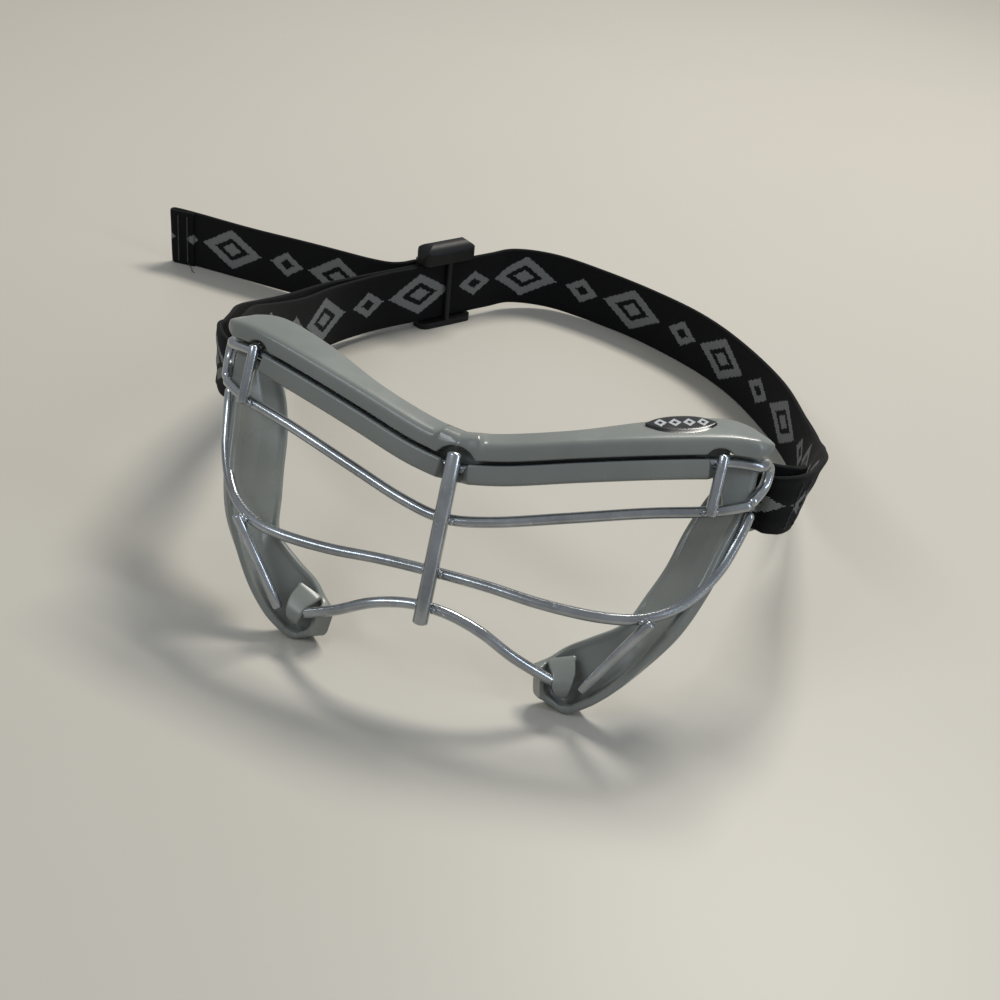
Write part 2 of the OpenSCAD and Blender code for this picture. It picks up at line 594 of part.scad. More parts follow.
brow_wire();
eye_wire();
rim_wire();
nose_wire();
centre_bar();
temple_bar(-1);  // temple_bar_left
temple_bar(1);  // temple_bar_right
cheek_strut(-1);  // cheek_strut_left
cheek_strut(1);  // cheek_strut_right
weld_beads();
brow_pad();
side_pad(-1);  // side_pad_left
side_pad(1);  // side_pad_right
cheek_clip(-1);  // cheek_clip_left
cheek_clip(1);  // cheek_clip_right
temple_panel(-1);  // temple_panel_left
temple_panel(1);  // temple_panel_right
strap_post(-1);  // strap_post_left
strap_post(1);  // strap_post_right
badge();
strap_band();
strap_wrap_left();
strap_return();
strap_loop_right();
loop_stitches();
slider();
strap_fold();
strap_tail();
tail_hem();
tail_stitches();
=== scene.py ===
"""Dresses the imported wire-cage goggles: smooth wire, mouldings, woven elastic, seams and a floor.

Lengths are millimetres in the goggles' own frame: X across the face from the midline, Y from the feet back
along the strap, Z up from the table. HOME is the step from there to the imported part's frame.
"""

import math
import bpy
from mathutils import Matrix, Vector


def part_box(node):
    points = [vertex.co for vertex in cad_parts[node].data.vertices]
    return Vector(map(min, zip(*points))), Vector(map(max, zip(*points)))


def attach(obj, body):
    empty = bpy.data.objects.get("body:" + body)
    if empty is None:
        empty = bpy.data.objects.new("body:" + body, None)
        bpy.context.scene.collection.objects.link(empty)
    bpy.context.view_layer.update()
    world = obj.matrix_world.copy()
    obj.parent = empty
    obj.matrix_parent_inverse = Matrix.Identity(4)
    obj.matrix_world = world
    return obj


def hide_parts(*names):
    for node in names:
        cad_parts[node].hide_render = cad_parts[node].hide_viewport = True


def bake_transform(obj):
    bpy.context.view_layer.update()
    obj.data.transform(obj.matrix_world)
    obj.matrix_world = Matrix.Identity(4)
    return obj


bl_info = {
    "name": "Wire-cage goggles",
    "version": (1, 0, 0),
    "blender": (4, 5, 0),
    "location": "3D View > Sidebar > Goggles",
    "description": "Builds the wires, mouldings, strap, seams and stage of a pair of wire-cage goggles",
    "category": "Add Mesh",
}

from functools import partialmethod

import bpy
import numpy as np
from bpy.props import FloatProperty, FloatVectorProperty, IntProperty, PointerProperty
from mathutils import Matrix

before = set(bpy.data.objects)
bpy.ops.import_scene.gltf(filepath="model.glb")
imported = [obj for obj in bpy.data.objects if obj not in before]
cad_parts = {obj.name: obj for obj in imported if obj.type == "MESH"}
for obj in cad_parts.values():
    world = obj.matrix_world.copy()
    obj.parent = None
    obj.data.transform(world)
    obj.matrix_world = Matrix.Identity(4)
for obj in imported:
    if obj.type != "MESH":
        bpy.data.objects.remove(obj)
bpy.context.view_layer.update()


def unit(vectors):
    """Vectors divided by their own lengths."""
    vectors = np.asarray(vectors, float)
    return vectors / np.linalg.norm(vectors, axis=-1, keepdims=True)


# Millimetres in a metre, and the bodies of the goggles and of the slider
MM = 1000
MAIN_BODY = "goggles"
MOVING_BODY = "adjuster"

# The lean of the cage, and the lower end of its midline bar
LEAN = math.radians(23.7)
ACROSS = np.array([1.0, 0.0, 0.0])
UP = np.array([0.0, math.sin(LEAN), math.cos(LEAN)])
BACK = np.array([0.0, math.cos(LEAN), -math.sin(LEAN)])
BAR_FOOT = np.array([0.0, -11.6, 22.9])
BAR_LOW, BAR_HIGH = (np.array(corner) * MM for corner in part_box("centre_bar"))
BAR_RADIUS = (BAR_HIGH[0] - BAR_LOW[0]) / 2
HOME = np.array([(BAR_HIGH[0] + BAR_LOW[0]) / 2, BAR_LOW[1] - BAR_FOOT[1] + BAR_RADIUS * math.cos(LEAN), 0.0])

# Wires on one side of the face: share of the half width, then millimetres back and up from the crossing
HALF_WIDTH = 78.0
STATIONS = {"brow": 42.4, "eye": 28.5, "rim": 14.0, "nose": 4.4}
SHAPES = {
    "brow": [[0, 0, 0], [0.16, 2.2, 1.4], [0.385, 8.2, 3.9], [0.64, 14.8, 6.6], [0.85, 20.3, 8.2],
             [0.955, 23.4, 7.6], [0.981, 27.0, 6.3]],
    "loop": [[0.992, 27.6, 4.4], [0.988, 25.2, 0.9]],
    "eye": [[0, 0, 0], [0.16, 2.0, 1.2], [0.385, 7.4, 4.2], [0.64, 13.9, 7.6], [0.85, 19.7, 9.4],
            [0.95, 24.2, 10.7]],
    "rim": [[0, 0, 0], [0.19, -0.4, 0], [0.385, -0.9, -0.7], [0.58, 1.0, -1.4], [0.718, 5.2, -1.3],
            [0.83, 13.2, 0.8], [0.91, 22.4, 7.0], [0.95, 30.0, 15.0], [0.962, 33.0, 19.2]],
    "nose": [[0, 0, 0], [0.1, -0.2, -0.8], [0.205, -0.8, -3.2], [0.32, -0.7, -8.3], [0.436, 1.8, -13.9],
             [0.462, 3.4, -15.6]],
}
LOOP_END = [1.2, 1.6, 0.9]

# Temple bars, struts and weld beads: their places, the air under them, and how far they pass a crossing
TEMPLE_SHARE = 0.83
STRUT_FOOT = np.array([43.45, -4.1, 9.75])
BAR_LENGTH = 47.0
WIRE_GAP, STRUT_GAP = 0.05, 0.15
BAR_BELOW, BAR_ABOVE, STRUT_ABOVE = 1.2, 2.4, 1.6
BLUNT_DOME = 0.45
BEAD_RADIUS, BEAD_STEP, BEAD_DEPTH = 0.85, 1.5, 1.2

# Brow moulding: depth of the top flange at the brow wire's seven places, and its section
FLANGE_DEPTHS = [4.6, 4.3, 4.4, 7.8, 8.6, 4.4, 2.8]
FLANGE_RISE = 0.38
UPPER_LIP = 7.4
LOWER_LIP = 4.2
LIP_COVER = 1.2
FLANGE_THICKNESS = 2.4
GROOVE_WALL = 2.2
CENTRE_ARCH = 5.8
TEMPLE_ARCH = 3.9
TEMPLE_BAR = TEMPLE_SHARE * HALF_WIDTH
GROOVE_END = TEMPLE_BAR + 1.8
TIP_TAPER = 4.5

# Cheek pad: outer and inner edge on the right side, from the temple down to the foot, and its section
PAD_OUTER = [[76.2, 34.6, 58.7], [75.0, 32.4, 51.6], [72.6, 25.1, 44.5], [69.9, 16.7, 35.6],
             [64.7, 8.7, 24.9], [55.3, 3.6, 12.6], [47.2, 0.3, 4.5], [42.3, 0.9, 0.4], [36.5, 1.1, -0.4],
             [30.1, -1.0, 3.5]]
PAD_INNER = [[68.5, 44.6, 57.5], [63.8, 42.2, 48.9], [60.2, 35.9, 40.5], [57.8, 28.5, 32.6],
             [54.6, 21.2, 27.6], [50.1, 12.1, 23.5], [42.4, 7.9, 19.2], [36.3, 6.6, 15.0], [32.5, 4.2, 12.3],
             [28.8, 1.4, 10.8]]
PAD_THICKNESS = PAD_LIP = 2.4
POCKET_END = 0.93
SOFT_EDGE = 0.7

# Badge, and how far its middle lies behind the brow wire
BADGE_LENGTH, BADGE_WIDTH, BADGE_THICKNESS, BADGE_BACK = 18.4, 9.2, 0.7, 4.4
BADGE_SHARE = 0.714

# Strap posts, and the straight stretch that carries the slider
POST_FOOT = np.array([76.2, 41.2, 46.0])
POST_HEAD = np.array([75.9, 43.0, 63.0])
POST_LEAN = (POST_HEAD - POST_FOOT)[1] / (POST_HEAD - POST_FOOT)[2]
POST_RADIUS = 1.6
POST_LEVEL = 53.6
SLIDE_RUN = np.array([0.6, 0.8, 0.0])
SLIDE_OUT = np.array([-0.8, 0.6, 0.0])
SLIDER_SEAT = np.array([-70.5, 210.0, 0.0])
SLIDER_LENGTH = 24.0
SLIDER_TRAVEL = 20.0
SLIDE_MIDDLE = 14.55
LAYER = 2.0
BAR_LINE = 4.2
OUTER_LAYER = 6.4
FOLD_RADIUS = BAR_LINE - LAYER
END_BAR = 10.5
STRETCH = SLIDER_LENGTH / 2 + SLIDER_TRAVEL

# Elastic: its height share at the posts and joins, its places and directions there, the free end's length
# and level, what evens its curve, its map's unit, its weave and its stitches
GATHERED = 17 / 23.5
JOIN_SHARE = 0.84
NEAR_SHARE = 0.92
RIGHT_JOIN, RIGHT_RUN = np.array([87.2, 60, 47.3]), unit([1.0, 22, -6.8])
BAND_JOIN, BAND_RUN = np.array([-88.4, 62, 49.0]), unit([5, -21, 7])
RETURN_JOIN, RETURN_RUN = np.array([-92.2, 60, 49.0]), unit([-5.5, 21, -7])
FREE_LENGTH = 108
STRAP_MIDDLE = 11.75
EVENING = 0.5
MAP_UNIT = 100
RIB, WEFT, THREAD_STEP = 0.62, 0.95, 0.7
STITCH_RADIUS, LOOSE_RADIUS = 0.2, 0.16
LOOP_ROW, HEM_ROW = (14.0, 9), (20.0, 12)

# Woven and printed lozenges: place along the strap where one is named, then half length and half height
BIG_PLACE, BIG_LOZENGE = 17.0, (14.0, 8.6)
SMALL_PLACE, SMALL_LOZENGE = 41.0, (7.5, 5.2)
BADGE_LOZENGE, BADGE_STEP, BADGE_ROW = (1.6, 2.1), 3.5, 14.0
BIG_HOLLOW, BIG_CORE, SMALL_HOLLOW = 0.58, 0.32, 0.42

# Floor from its middle to its edge in metres, and the camera as it was fitted to the photograph
FLOOR_REACH = 2.5
YAW, PITCH, ROLL = (math.radians(turn) for turn in (-14.34317, 31.94718, 6.23183))
EYE = np.array([94.882, -312.364, 260.371])
LENS, SENSOR = 54.0, 36.0

# What settings of one kind share
LENGTH = {"subtype": "DISTANCE", "unit": "LENGTH"}
COLOUR = {"min": 0, "max": 1, "subtype": "COLOR"}
POWER = {"min": 0, "max": 40, "unit": "POWER"}


class WireSettings(bpy.types.PropertyGroup):
    """Sizes and colour of the cage"""

    diameter: FloatProperty(
        name="Wire diameter", description="Diameter of the wires, temple bars and struts",
        default=0.003, min=0.002, max=0.004, **LENGTH)
    sides: IntProperty(
        name="Sides", description="Number of faces round a wire", default=24, min=8, max=48)
    colour: FloatVectorProperty(
        name="Wire colour", description="Colour of the metallic coat", default=(0.46, 0.485, 0.505), **COLOUR)


class MouldingSettings(bpy.types.PropertyGroup):
    """Sizes and colour of the soft mouldings"""

    colour: FloatVectorProperty(
        name="Moulding colour", description="Colour of the brow, cheeks and posts",
        default=(0.2, 0.212, 0.196), **COLOUR)
    edge: FloatProperty(
        name="Edge round", description="Radius of the brow's edges",
        default=0.0007, min=0.0002, max=0.0012, **LENGTH)


class StrapSettings(bpy.types.PropertyGroup):
    """Sizes and colours of the elastic strap"""

    height: FloatProperty(
        name="Strap height", description="Height of the elastic where it isn't gathered",
        default=0.0235, min=0.02, max=0.026, **LENGTH)
    thickness: FloatProperty(
        name="Strap thickness", description="Thickness of the elastic",
        default=0.0016, min=0.001, max=0.002, **LENGTH)
    ground: FloatVectorProperty(
        name="Ground colour", description="Colour of the elastic", default=(0.0028, 0.0028, 0.0032), **COLOUR)
    motif: FloatVectorProperty(
        name="Motif colour", description="Colour of the woven lozenges",
        default=(0.155, 0.158, 0.158), **COLOUR)
    repeat: FloatProperty(
        name="Motif repeat", description="Length in which the woven motif repeats",
        default=0.050, min=0.03, max=0.08, **LENGTH)


class StageSettings(bpy.types.PropertyGroup):
    """Floor and lamps"""

    floor: FloatVectorProperty(
        name="Floor colour", description="Colour of the pale table", default=(0.46, 0.436, 0.386), **COLOUR)
    key: FloatProperty(
        name="Key lamp", description="Power of the lamp behind the goggles", default=12.0, **POWER)
    fill: FloatProperty(
        name="Fill lamp", description="Power of the lamp in front", default=3.2, **POWER)
    side: FloatProperty(
        name="Side lamp", description="Power of the cool strip lamp at the right", default=2.4, **POWER)


# Curves and skins
def spline(points, steps, evening=0.0):
    """Smooth curve through points: a cubic in each span, that meets the next one in place and direction.

    The direction at a point weighs the spans on both sides by their length to the power of evening. Half of
    one keeps the curve from looping where a long span meets a short one.
    """
    p = np.asarray(points, float)
    gap = (np.linalg.norm(np.diff(p[:, :3], axis=0), axis=-1) ** evening)[:, None]
    before, after = np.vstack([gap[:1], gap]), np.vstack([gap, gap[-1:]])
    rise = np.diff(np.vstack([p[:1], p, p[-1:]]), axis=0)
    slope = (rise[1:] * before / after + rise[:-1] * after / before) / (before + after)
    t = (np.arange(steps) / steps)[None, :, None]
    a, b, leave, arrive = (q[:, None, :] for q in (p[:-1], p[1:], slope[:-1] * gap, slope[1:] * gap))
    curve = a + leave * t + (3 * (b - a) - 2 * leave - arrive) * t**2 + (2 * (a - b) + leave + arrive) * t**3
    return np.vstack([curve.reshape(-1, p.shape[1]), p[-1:]])


def spline_at(points, x):
    """The plain cubic through points, read where the straight share of its first column equals each x."""
    p = np.asarray(points, float)
    i = np.clip(np.searchsorted(p[:, 0], x, side="right") - 1, 0, len(p) - 2)
    t = ((x - p[i, 0]) / (p[i + 1, 0] - p[i, 0]))[:, None]
    a, b, c, d = p[np.maximum(i - 1, 0)], p[i], p[i + 1], p[np.minimum(i + 2, len(p) - 1)]
    return 0.5 * (2 * b + (c - a) * t + (2 * a - 5 * b + 4 * c - d) * t**2
                  + (3 * b - a - 3 * c + d) * t**3)


def runs(path):
    """Direction of a path at each point: from the point before to the point after."""
    wide = np.vstack([path[:1], path, path[-1:]])
    return unit(wide[2:] - wide[:-2])


def both_sides(half):
    """A half path and its mirror image in the midline, joined into one."""
    return np.vstack([half[:0:-1] * [-1, 1, 1], half])


def outlines(points, count):
    """One outline for each ring from points whose two numbers are plain, or hold one number for each ring."""
    return np.array([[np.broadcast_to(q, count) for q in point] for point in points]).transpose(2, 0, 1)


def filleted(profile, radius):
    """Closed outlines with each corner cut back by radius and filled by a quadratic arc.

    A cut takes less than half of its edge, so two arcs never meet.
    """
    def cut_back(neighbour):
        edge = np.roll(profile, neighbour, -2) - profile
        length = np.linalg.norm(edge, axis=-1, keepdims=True)
        return (profile + edge * np.minimum(radius / np.maximum(length, 1e-9), 0.46))[..., None, :]

    t = np.linspace(0, 1, 4)[:, None]
    arcs = cut_back(1) * (1 - t)**2 + profile[..., None, :] * 2 * t * (1 - t) + cut_back(-1) * t**2
    return arcs.reshape(*profile.shape[:-2], -1, 2)


def lay(path, profile, side, top):
    """Rings of a profile at the points of a path: its first number goes along side, its second along top."""
    return path[:, None] + profile[..., :1] * side[:, None] + profile[..., 1:] * top[:, None]


def carry(path, up, profile, along=None):
    """Rings of a profile carried along a path: first number sideways, second along up squared to the path."""
    along = runs(path) if along is None else along
    side = unit(np.cross(along, np.broadcast_to(up, path.shape)))
    return lay(path, profile, side, np.cross(side, along))


def tube(path, radius, up, sides, dome=1.0):
    """Rings of a round tube along a path, with each end closed by a quarter turn of shrinking rings.

    The end stands out by the radius times dome, so a dome under one is blunter than a half ball.
    """
    turn = np.radians([80, 60, 40, 20])
    turn = np.concatenate([-turn, np.zeros(len(path)), turn[::-1]])[:, None]
    along, path = (np.pad(q, ((4, 4), (0, 0)), mode="edge") for q in (runs(path), path))
    around = np.arange(sides) * 2 * math.pi / sides
    circle = radius * np.stack([np.cos(around), np.sin(around)], -1)
    return carry(path + along * radius * dome * np.sin(turn), up, circle * np.cos(turn)[..., None], along)


def straight(low, high, radius, sides):
    """Rings of a tube between two points, with blunt ends that reach just to them."""
    run = unit(high - low) * radius * BLUNT_DOME
    return tube(np.linspace(low + run, high - run, 6), radius, BACK, sides, BLUNT_DOME)


def closed_skin(grid, uv):
    """Vertices, and faces with their maps, of a closed surface over rings of equal numbers of points.

    Neighbouring rings are joined by quads, and each end ring by a fan to its own middle. Faces are turned
    outwards by the sign of the volume they enclose.
    """
    n, m = grid.shape[:2]
    uv = np.zeros((n, m + 1, 2)) if uv is None else uv
    points = np.vstack([grid.reshape(-1, 3), grid[0].mean(0), grid[-1].mean(0)])
    i, j = (q.ravel() for q in np.meshgrid(np.arange(n - 1), np.arange(m), indexing="ij"))
    corners = ((i, j), (i, j + 1), (i + 1, j + 1), (i + 1, j))
    quads = np.stack([row * m + column % m for row, column in corners], -1)
    faces = [(quads, np.stack([uv[corner] for corner in corners], 1))]
    ring = np.arange(m)
    for middle, row, a, b in ((n * m, 0, ring + 1, ring), (n * m + 1, n - 1, ring, ring + 1)):
        fan = np.stack([np.full(m, middle), row * m + a % m, row * m + b % m], -1)
        middle_map = np.broadcast_to(uv[row, :m].mean(0), (m, 2))
        faces.append((fan, np.stack([middle_map, uv[row, a], uv[row, b]], 1)))
    a, b, c, d = (points[quads[:, q]] - points.mean(0) for q in range(4))
    if np.sum(a * (np.cross(b, c) + np.cross(c, d))) < 0:
        faces = [(face[:, ::-1], place[:, ::-1]) for face, place in faces]
    return points, faces


def show(name, data):
    """New object in the scene, at the origin."""
    thing = bpy.data.objects.new(name, data)
    bpy.context.scene.collection.objects.link(thing)
    return thing


def make(name, grids, finish, slot, *nodes, body=MAIN_BODY, sharp=None, uv=None):
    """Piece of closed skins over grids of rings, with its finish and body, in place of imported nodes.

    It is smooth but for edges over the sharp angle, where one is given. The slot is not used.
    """
    points, faces, maps, start = [], [], [], 0
    for grid in grids:
        part, surfaces = closed_skin(grid, uv)
        points.append(part)
        for corners, place in surfaces:
            faces += (corners + start).tolist()
            maps.append(place.reshape(-1, 2))
        start += len(part)
    mesh = bpy.data.meshes.new(name)
    mesh.from_pydata(((np.vstack(points) + HOME) / MM).tolist(), [], faces)
    mesh.uv_layers.new(name="Surface").data.foreach_set("uv", np.vstack(maps).astype(np.float32).ravel())
    mesh.shade_smooth()
    if sharp is not None:
        mesh.set_sharp_from_angle(angle=math.radians(sharp))
    mesh.update()
    mesh.materials.append(finish)
    piece = show(name, mesh)
    if body is not None:
        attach(piece, body)
    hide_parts(*nodes)
    return piece


def make_pair(finish, slot, *parts):
    """Right-hand parts and their mirror images. A part is its name, rings, node and sharp angle."""
    for side, label in ((-1, "left"), (1, "right")):
        for name, grid, node, sharp in parts:
            make(name + label, [grid * [side, 1, 1]], finish, slot, node + label, sharp=sharp)


# Finishes
class Number:
    """Number from a node's output: arithmetic on it, or calc with an operation, adds a Math node."""

    def __init__(self, tree, socket):
        self.tree, self.socket = tree, socket

    def calc(self, operation, other=0.0):
        node = add(self.tree, "ShaderNodeMath", {0: self, 1: other}, operation=operation)
        return Number(self.tree, node.outputs[0])

    __add__ = partialmethod(calc, "ADD")
    __sub__ = partialmethod(calc, "SUBTRACT")
    __mul__ = partialmethod(calc, "MULTIPLY")
    __truediv__ = partialmethod(calc, "DIVIDE")
    __mod__ = partialmethod(calc, "MODULO")
    __lt__ = partialmethod(calc, "LESS_THAN")
    __gt__ = partialmethod(calc, "GREATER_THAN")


def feed(tree, node, inputs):
    """Links a node's inputs to Numbers and other outputs, or sets them to plain values."""
    for name, value in inputs.items():
        value = value.socket if isinstance(value, Number) else value
        if isinstance(value, bpy.types.NodeSocket):
            tree.links.new(value, node.inputs[name])
        else:
            node.inputs[name].default_value = value
    return node


def add(tree, kind, inputs, **settings):
    """New shader node with its settings and inputs."""
    node = tree.nodes.new(kind)
    for name, value in settings.items():
        setattr(node, name, value)
    return feed(tree, node, inputs)


def noise(tree, vector, scale, detail, roughness, distortion=0.0):
    """Noise on a vector."""
    node = add(tree, "ShaderNodeTexNoise", {
        "Vector": vector, "Scale": scale, "Detail": detail, "Roughness": roughness, "Distortion": distortion})
    return Number(tree, node.outputs[0])


def spread(number, low, high, start=0.0, end=1.0):
    """Number that goes from low to high as another goes from start to end."""
    node = add(number.tree, "ShaderNodeMapRange", {0: number, 1: start, 2: end, 3: low, 4: high})
    return Number(number.tree, node.outputs[0])


def blend_colour(share, a, b):
    """Colour that goes from a to b as share goes from 0 to 1."""
    return add(share.tree, "ShaderNodeMix", {0: share, 6: a, 7: b}, data_type="RGBA").outputs[2]


def shade(colour, times=1.0):
    """Colour made that many times as bright, up to white, with its alpha."""
    return (*(min(1.0, times * part) for part in colour), 1.0)


def bump(height, strength, distance=0.0002):
    """Normal of a surface raised by height, over a distance in metres."""
    return add(height.tree, "ShaderNodeBump", {
        "Height": height, "Strength": strength, "Distance": distance}).outputs[0]


def axes(tree, vector):
    """First and second number of a vector."""
    parts = add(tree, "ShaderNodeSeparateXYZ", {0: vector})
    return Number(tree, parts.outputs[0]), Number(tree, parts.outputs[1])


def own_map(tree, place):
    """The piece's own map, in millimetres."""
    return add(tree, "ShaderNodeVectorMath", {0: place.outputs["UV"], 1: (MAP_UNIT,) * 3},
               operation="MULTIPLY").outputs[0]


def lozenge(along, across, half_long, half_high):
    """Distance from a lozenge's middle, one at its edge: along and across it, each over its half length."""
    return along.calc("ABSOLUTE") / half_long + across.calc("ABSOLUTE") / half_high


def ring(far, hollow):
    """One between the hollow and the edge of a lozenge, and nothing elsewhere."""
    return (far < 1.0) * (far > hollow)


def group(name, numbers, outputs):
    """Node group fed by a vector and numbers, with its two end nodes where it is new."""
    old = bpy.data.node_groups.get(name)
    if old:
        return old, None, None
    tree = bpy.data.node_groups.new(name, "ShaderNodeTree")
    tree.interface.new_socket("Vector", in_out="INPUT", socket_type="NodeSocketVector")
    for way, labels in (("INPUT", numbers), ("OUTPUT", outputs)):
        for label in labels:
            tree.interface.new_socket(label, in_out=way, socket_type="NodeSocketFloat")
    return tree, tree.nodes.new("NodeGroupInput"), tree.nodes.new("NodeGroupOutput")


def surface_grain():
    """Group: broad mottling, fine grain and sparse scuffs from three noises on the coordinates."""
    tree, entry, leave = group("Surface grain", ["Broad", "Fine"], ["Mottle", "Grain", "Scuff"])
    if entry is None:
        return tree
    vector = entry.outputs["Vector"]
    streak = add(tree, "ShaderNodeMapping", {"Vector": vector, "Scale": (1.0, 0.35, 1.0)})
    broad = noise(tree, vector, entry.outputs["Broad"], 4.0, 0.6)
    scuff = noise(tree, streak.outputs[0], 620.0, 6.0, 0.72, 0.6)
    feed(tree, leave, {
        "Mottle": spread(broad, 0.0, 1.0, 0.36, 0.64),
        "Grain": noise(tree, vector, entry.outputs["Fine"], 3.0, 0.55),
        "Scuff": spread(scuff, 0.0, 1.0, 0.62, 0.74)})
    return tree


def elastic_weave():
    """Group: ribs and threads of woven elastic, and the woven lozenge motif, from a map in millimetres.

    Ribs are sines across and along the webbing, shifted by half a wave on every second row. The motif is a
    big hollow lozenge with a solid core, then a small hollow one. Its edge is stepped by rounding to whole
    threads.
    """
    tree, entry, leave = group("Elastic weave", ["Repeat"], ["Height", "Thread", "Motif"])
    if entry is None:
        return tree
    vector = entry.outputs["Vector"]
    along, across = axes(tree, vector)
    row = (across / RIB).calc("FLOOR")
    weft = (along * (2 * math.pi / WEFT) + row * math.pi).calc("SINE")
    ribs = (across * (2 * math.pi / RIB)).calc("SINE")
    place = ((along / THREAD_STEP).calc("FLOOR") * THREAD_STEP + 1000.0) % entry.outputs["Repeat"]
    big = lozenge(place - BIG_PLACE, row * RIB, *BIG_LOZENGE)
    small = lozenge(place - SMALL_PLACE, row * RIB, *SMALL_LOZENGE)
    motif = ring(big, BIG_HOLLOW).calc("MAXIMUM", big < BIG_CORE).calc("MAXIMUM", ring(small, SMALL_HOLLOW))
    feed(tree, leave, {
        "Height": weft * 0.32 + ribs * 0.2 + motif * 0.25,
        "Thread": weft * 0.22 + noise(tree, vector, 1.3, 3.0, 0.7),
        "Motif": motif})
    return tree


def grained(tree, place, broad, fine):
    """Mottle, grain and scuff of the surface grain on object coordinates, at its own two scales."""
    node = add(tree, "ShaderNodeGroup", {"Vector": place.outputs["Object"], "Broad": broad, "Fine": fine},
               node_tree=surface_grain())
    return (Number(tree, output) for output in node.outputs)


def material(name, recipe):
    """Material of this name, made once: a Principled shader whose inputs the recipe works out."""
    finish = bpy.data.materials.get(name)
    if finish is None:
        finish = bpy.data.materials.new(name)
        finish.use_nodes = True
        tree = finish.node_tree
        tree.nodes.clear()
        shader = tree.nodes.new("ShaderNodeBsdfPrincipled")
        tree.links.new(shader.outputs[0], tree.nodes.new("ShaderNodeOutputMaterial").inputs[0])
        feed(tree, shader, recipe(tree, tree.nodes.new("ShaderNodeTexCoord")))
    return finish


def cage_coat(tree, place):
    """Metallic silver-grey coat: mottled grey with a faint orange peel and a few bright scuffs."""
    colour = bpy.context.scene.goggle_wires.colour
    mottle, grain, scuff = grained(tree, place, 55.0, 1500.0)
    base = blend_colour(mottle, shade(colour, 0.6), shade(colour))
    return {"Base Color": blend_colour(scuff * 0.75, base, shade(colour, 2.0)),
            "Roughness": spread(grain, 0.14, 0.3), "Metallic": 0.94, "Coat Weight": 0.35,
            "Coat Roughness": 0.18, "Normal": bump(grain, 0.12)}


def grey_moulding(tree, place):
    """Soft grey moulding: slightly mottled, satin, with a fine grain and paler rubbed places."""
    colour = bpy.context.scene.goggle_mouldings.colour
    mottle, grain, scuff = grained(tree, place, 28.0, 1900.0)
    base = blend_colour(mottle, shade(colour, 0.86), shade(colour))
    return {"Base Color": blend_colour(scuff * 0.35, base, shade(colour, 1.3)),
            "Roughness": spread(mottle, 0.2, 0.34), "Normal": bump(grain, 0.1)}


def woven_elastic(tree, place):
    """Black woven elastic with a grey woven motif, from the strip's own map, and a soft sheen."""
    strap = bpy.context.scene.goggle_strap
    node = add(tree, "ShaderNodeGroup", {"Vector": own_map(tree, place), "Repeat": strap.repeat * MM},
               node_tree=elastic_weave())
    height, thread, motif = (Number(tree, output) for output in node.outputs)
    black = blend_colour(thread, shade(strap.ground, 0.5), shade(strap.ground, 1.9))
    grey = blend_colour(thread, shade(strap.motif, 0.62), shade(strap.motif, 1.4))
    return {"Base Color": blend_colour(motif, black, grey), "Roughness": spread(thread, 0.78, 0.94),
            "Sheen Weight": 0.02, "Specular IOR Level": 0.16, "Normal": bump(height, 0.55, 0.0003)}


def black_plastic(tree, place):
    """Satin black plastic with a fine grain and greyed, rubbed patches."""
    mottle, grain, scuff = grained(tree, place, 90.0, 2600.0)
    base = blend_colour(mottle, shade((0.003, 0.003, 0.0032)), shade((0.006, 0.006, 0.0065)))
    return {"Base Color": blend_colour(scuff * 0.6, base, shade((0.05, 0.05, 0.05))),
            "Roughness": spread(grain, 0.42, 0.6), "Specular IOR Level": 0.28, "Normal": bump(grain, 0.15)}


def badge_gloss(tree, place):
    """Gloss black badge with a row of four plain hollow lozenges, from its own map."""
    mottle, _, _ = grained(tree, place, 120.0, 2600.0)
    along, across = axes(tree, own_map(tree, place))
    cell = (along + 29 * BADGE_STEP) % BADGE_STEP - BADGE_STEP / 2
    dots = ring(lozenge(cell, across, *BADGE_LOZENGE), SMALL_HOLLOW)
    dots *= along.calc("ABSOLUTE") < BADGE_ROW / 2
    return {"Base Color": blend_colour(dots, shade((0.009, 0.009, 0.01)), shade((0.42, 0.43, 0.44))),
            "Roughness": spread(mottle, 0.16, 0.3), "Normal": bump(dots, 0.2)}


def sewing_thread(tree, place):
    """Black sewing thread with a fuzzy, uneven ply."""
    mottle, grain, _ = grained(tree, place, 700.0, 3200.0)
    return {"Base Color": blend_colour(mottle, shade((0.016, 0.016, 0.018)), shade((0.05, 0.05, 0.054))),
            "Roughness": 0.8, "Sheen Weight": 0.2, "Normal": bump(grain, 0.4, 0.0001)}


def pale_table(tree, place):
    """Pale warm table top with a faint broad variation and a low gloss."""
    colour = bpy.context.scene.goggle_stage.floor
    mottle, _, _ = grained(tree, place, 2.0, 300.0)
    return {"Base Color": blend_colour(mottle, shade(colour, 0.965), shade(colour)),
            "Roughness": 0.42, "Specular IOR Level": 0.3}


# The cage
def wire_radius():
    """Radius of a cross wire, in millimetres."""
    return bpy.context.scene.goggle_wires.diameter * MM / 2


def half_wire(kind, station=None):
    """Points of a wire on the right side, from where it passes behind the midline bar."""
    crossing = BAR_FOOT + UP * STATIONS[station or kind] + BACK * (BAR_RADIUS + wire_radius() + WIRE_GAP)
    return crossing + np.array(SHAPES[kind]) * [HALF_WIDTH, 1, 1]


def temple_frame():
    """Upper and lower crossing of a temple bar, and its up, along and front directions."""
    share = np.array([TEMPLE_SHARE - 0.02, TEMPLE_SHARE, TEMPLE_SHARE + 0.02]) * HALF_WIDTH
    upper, lower = spline_at(half_wire("brow"), share), spline_at(half_wire("eye"), share)
    up = unit(upper[1] - lower[1])
    along = unit(lower[2] - lower[0])
    return upper[1], lower[1], up, along, unit(np.cross(along, up))


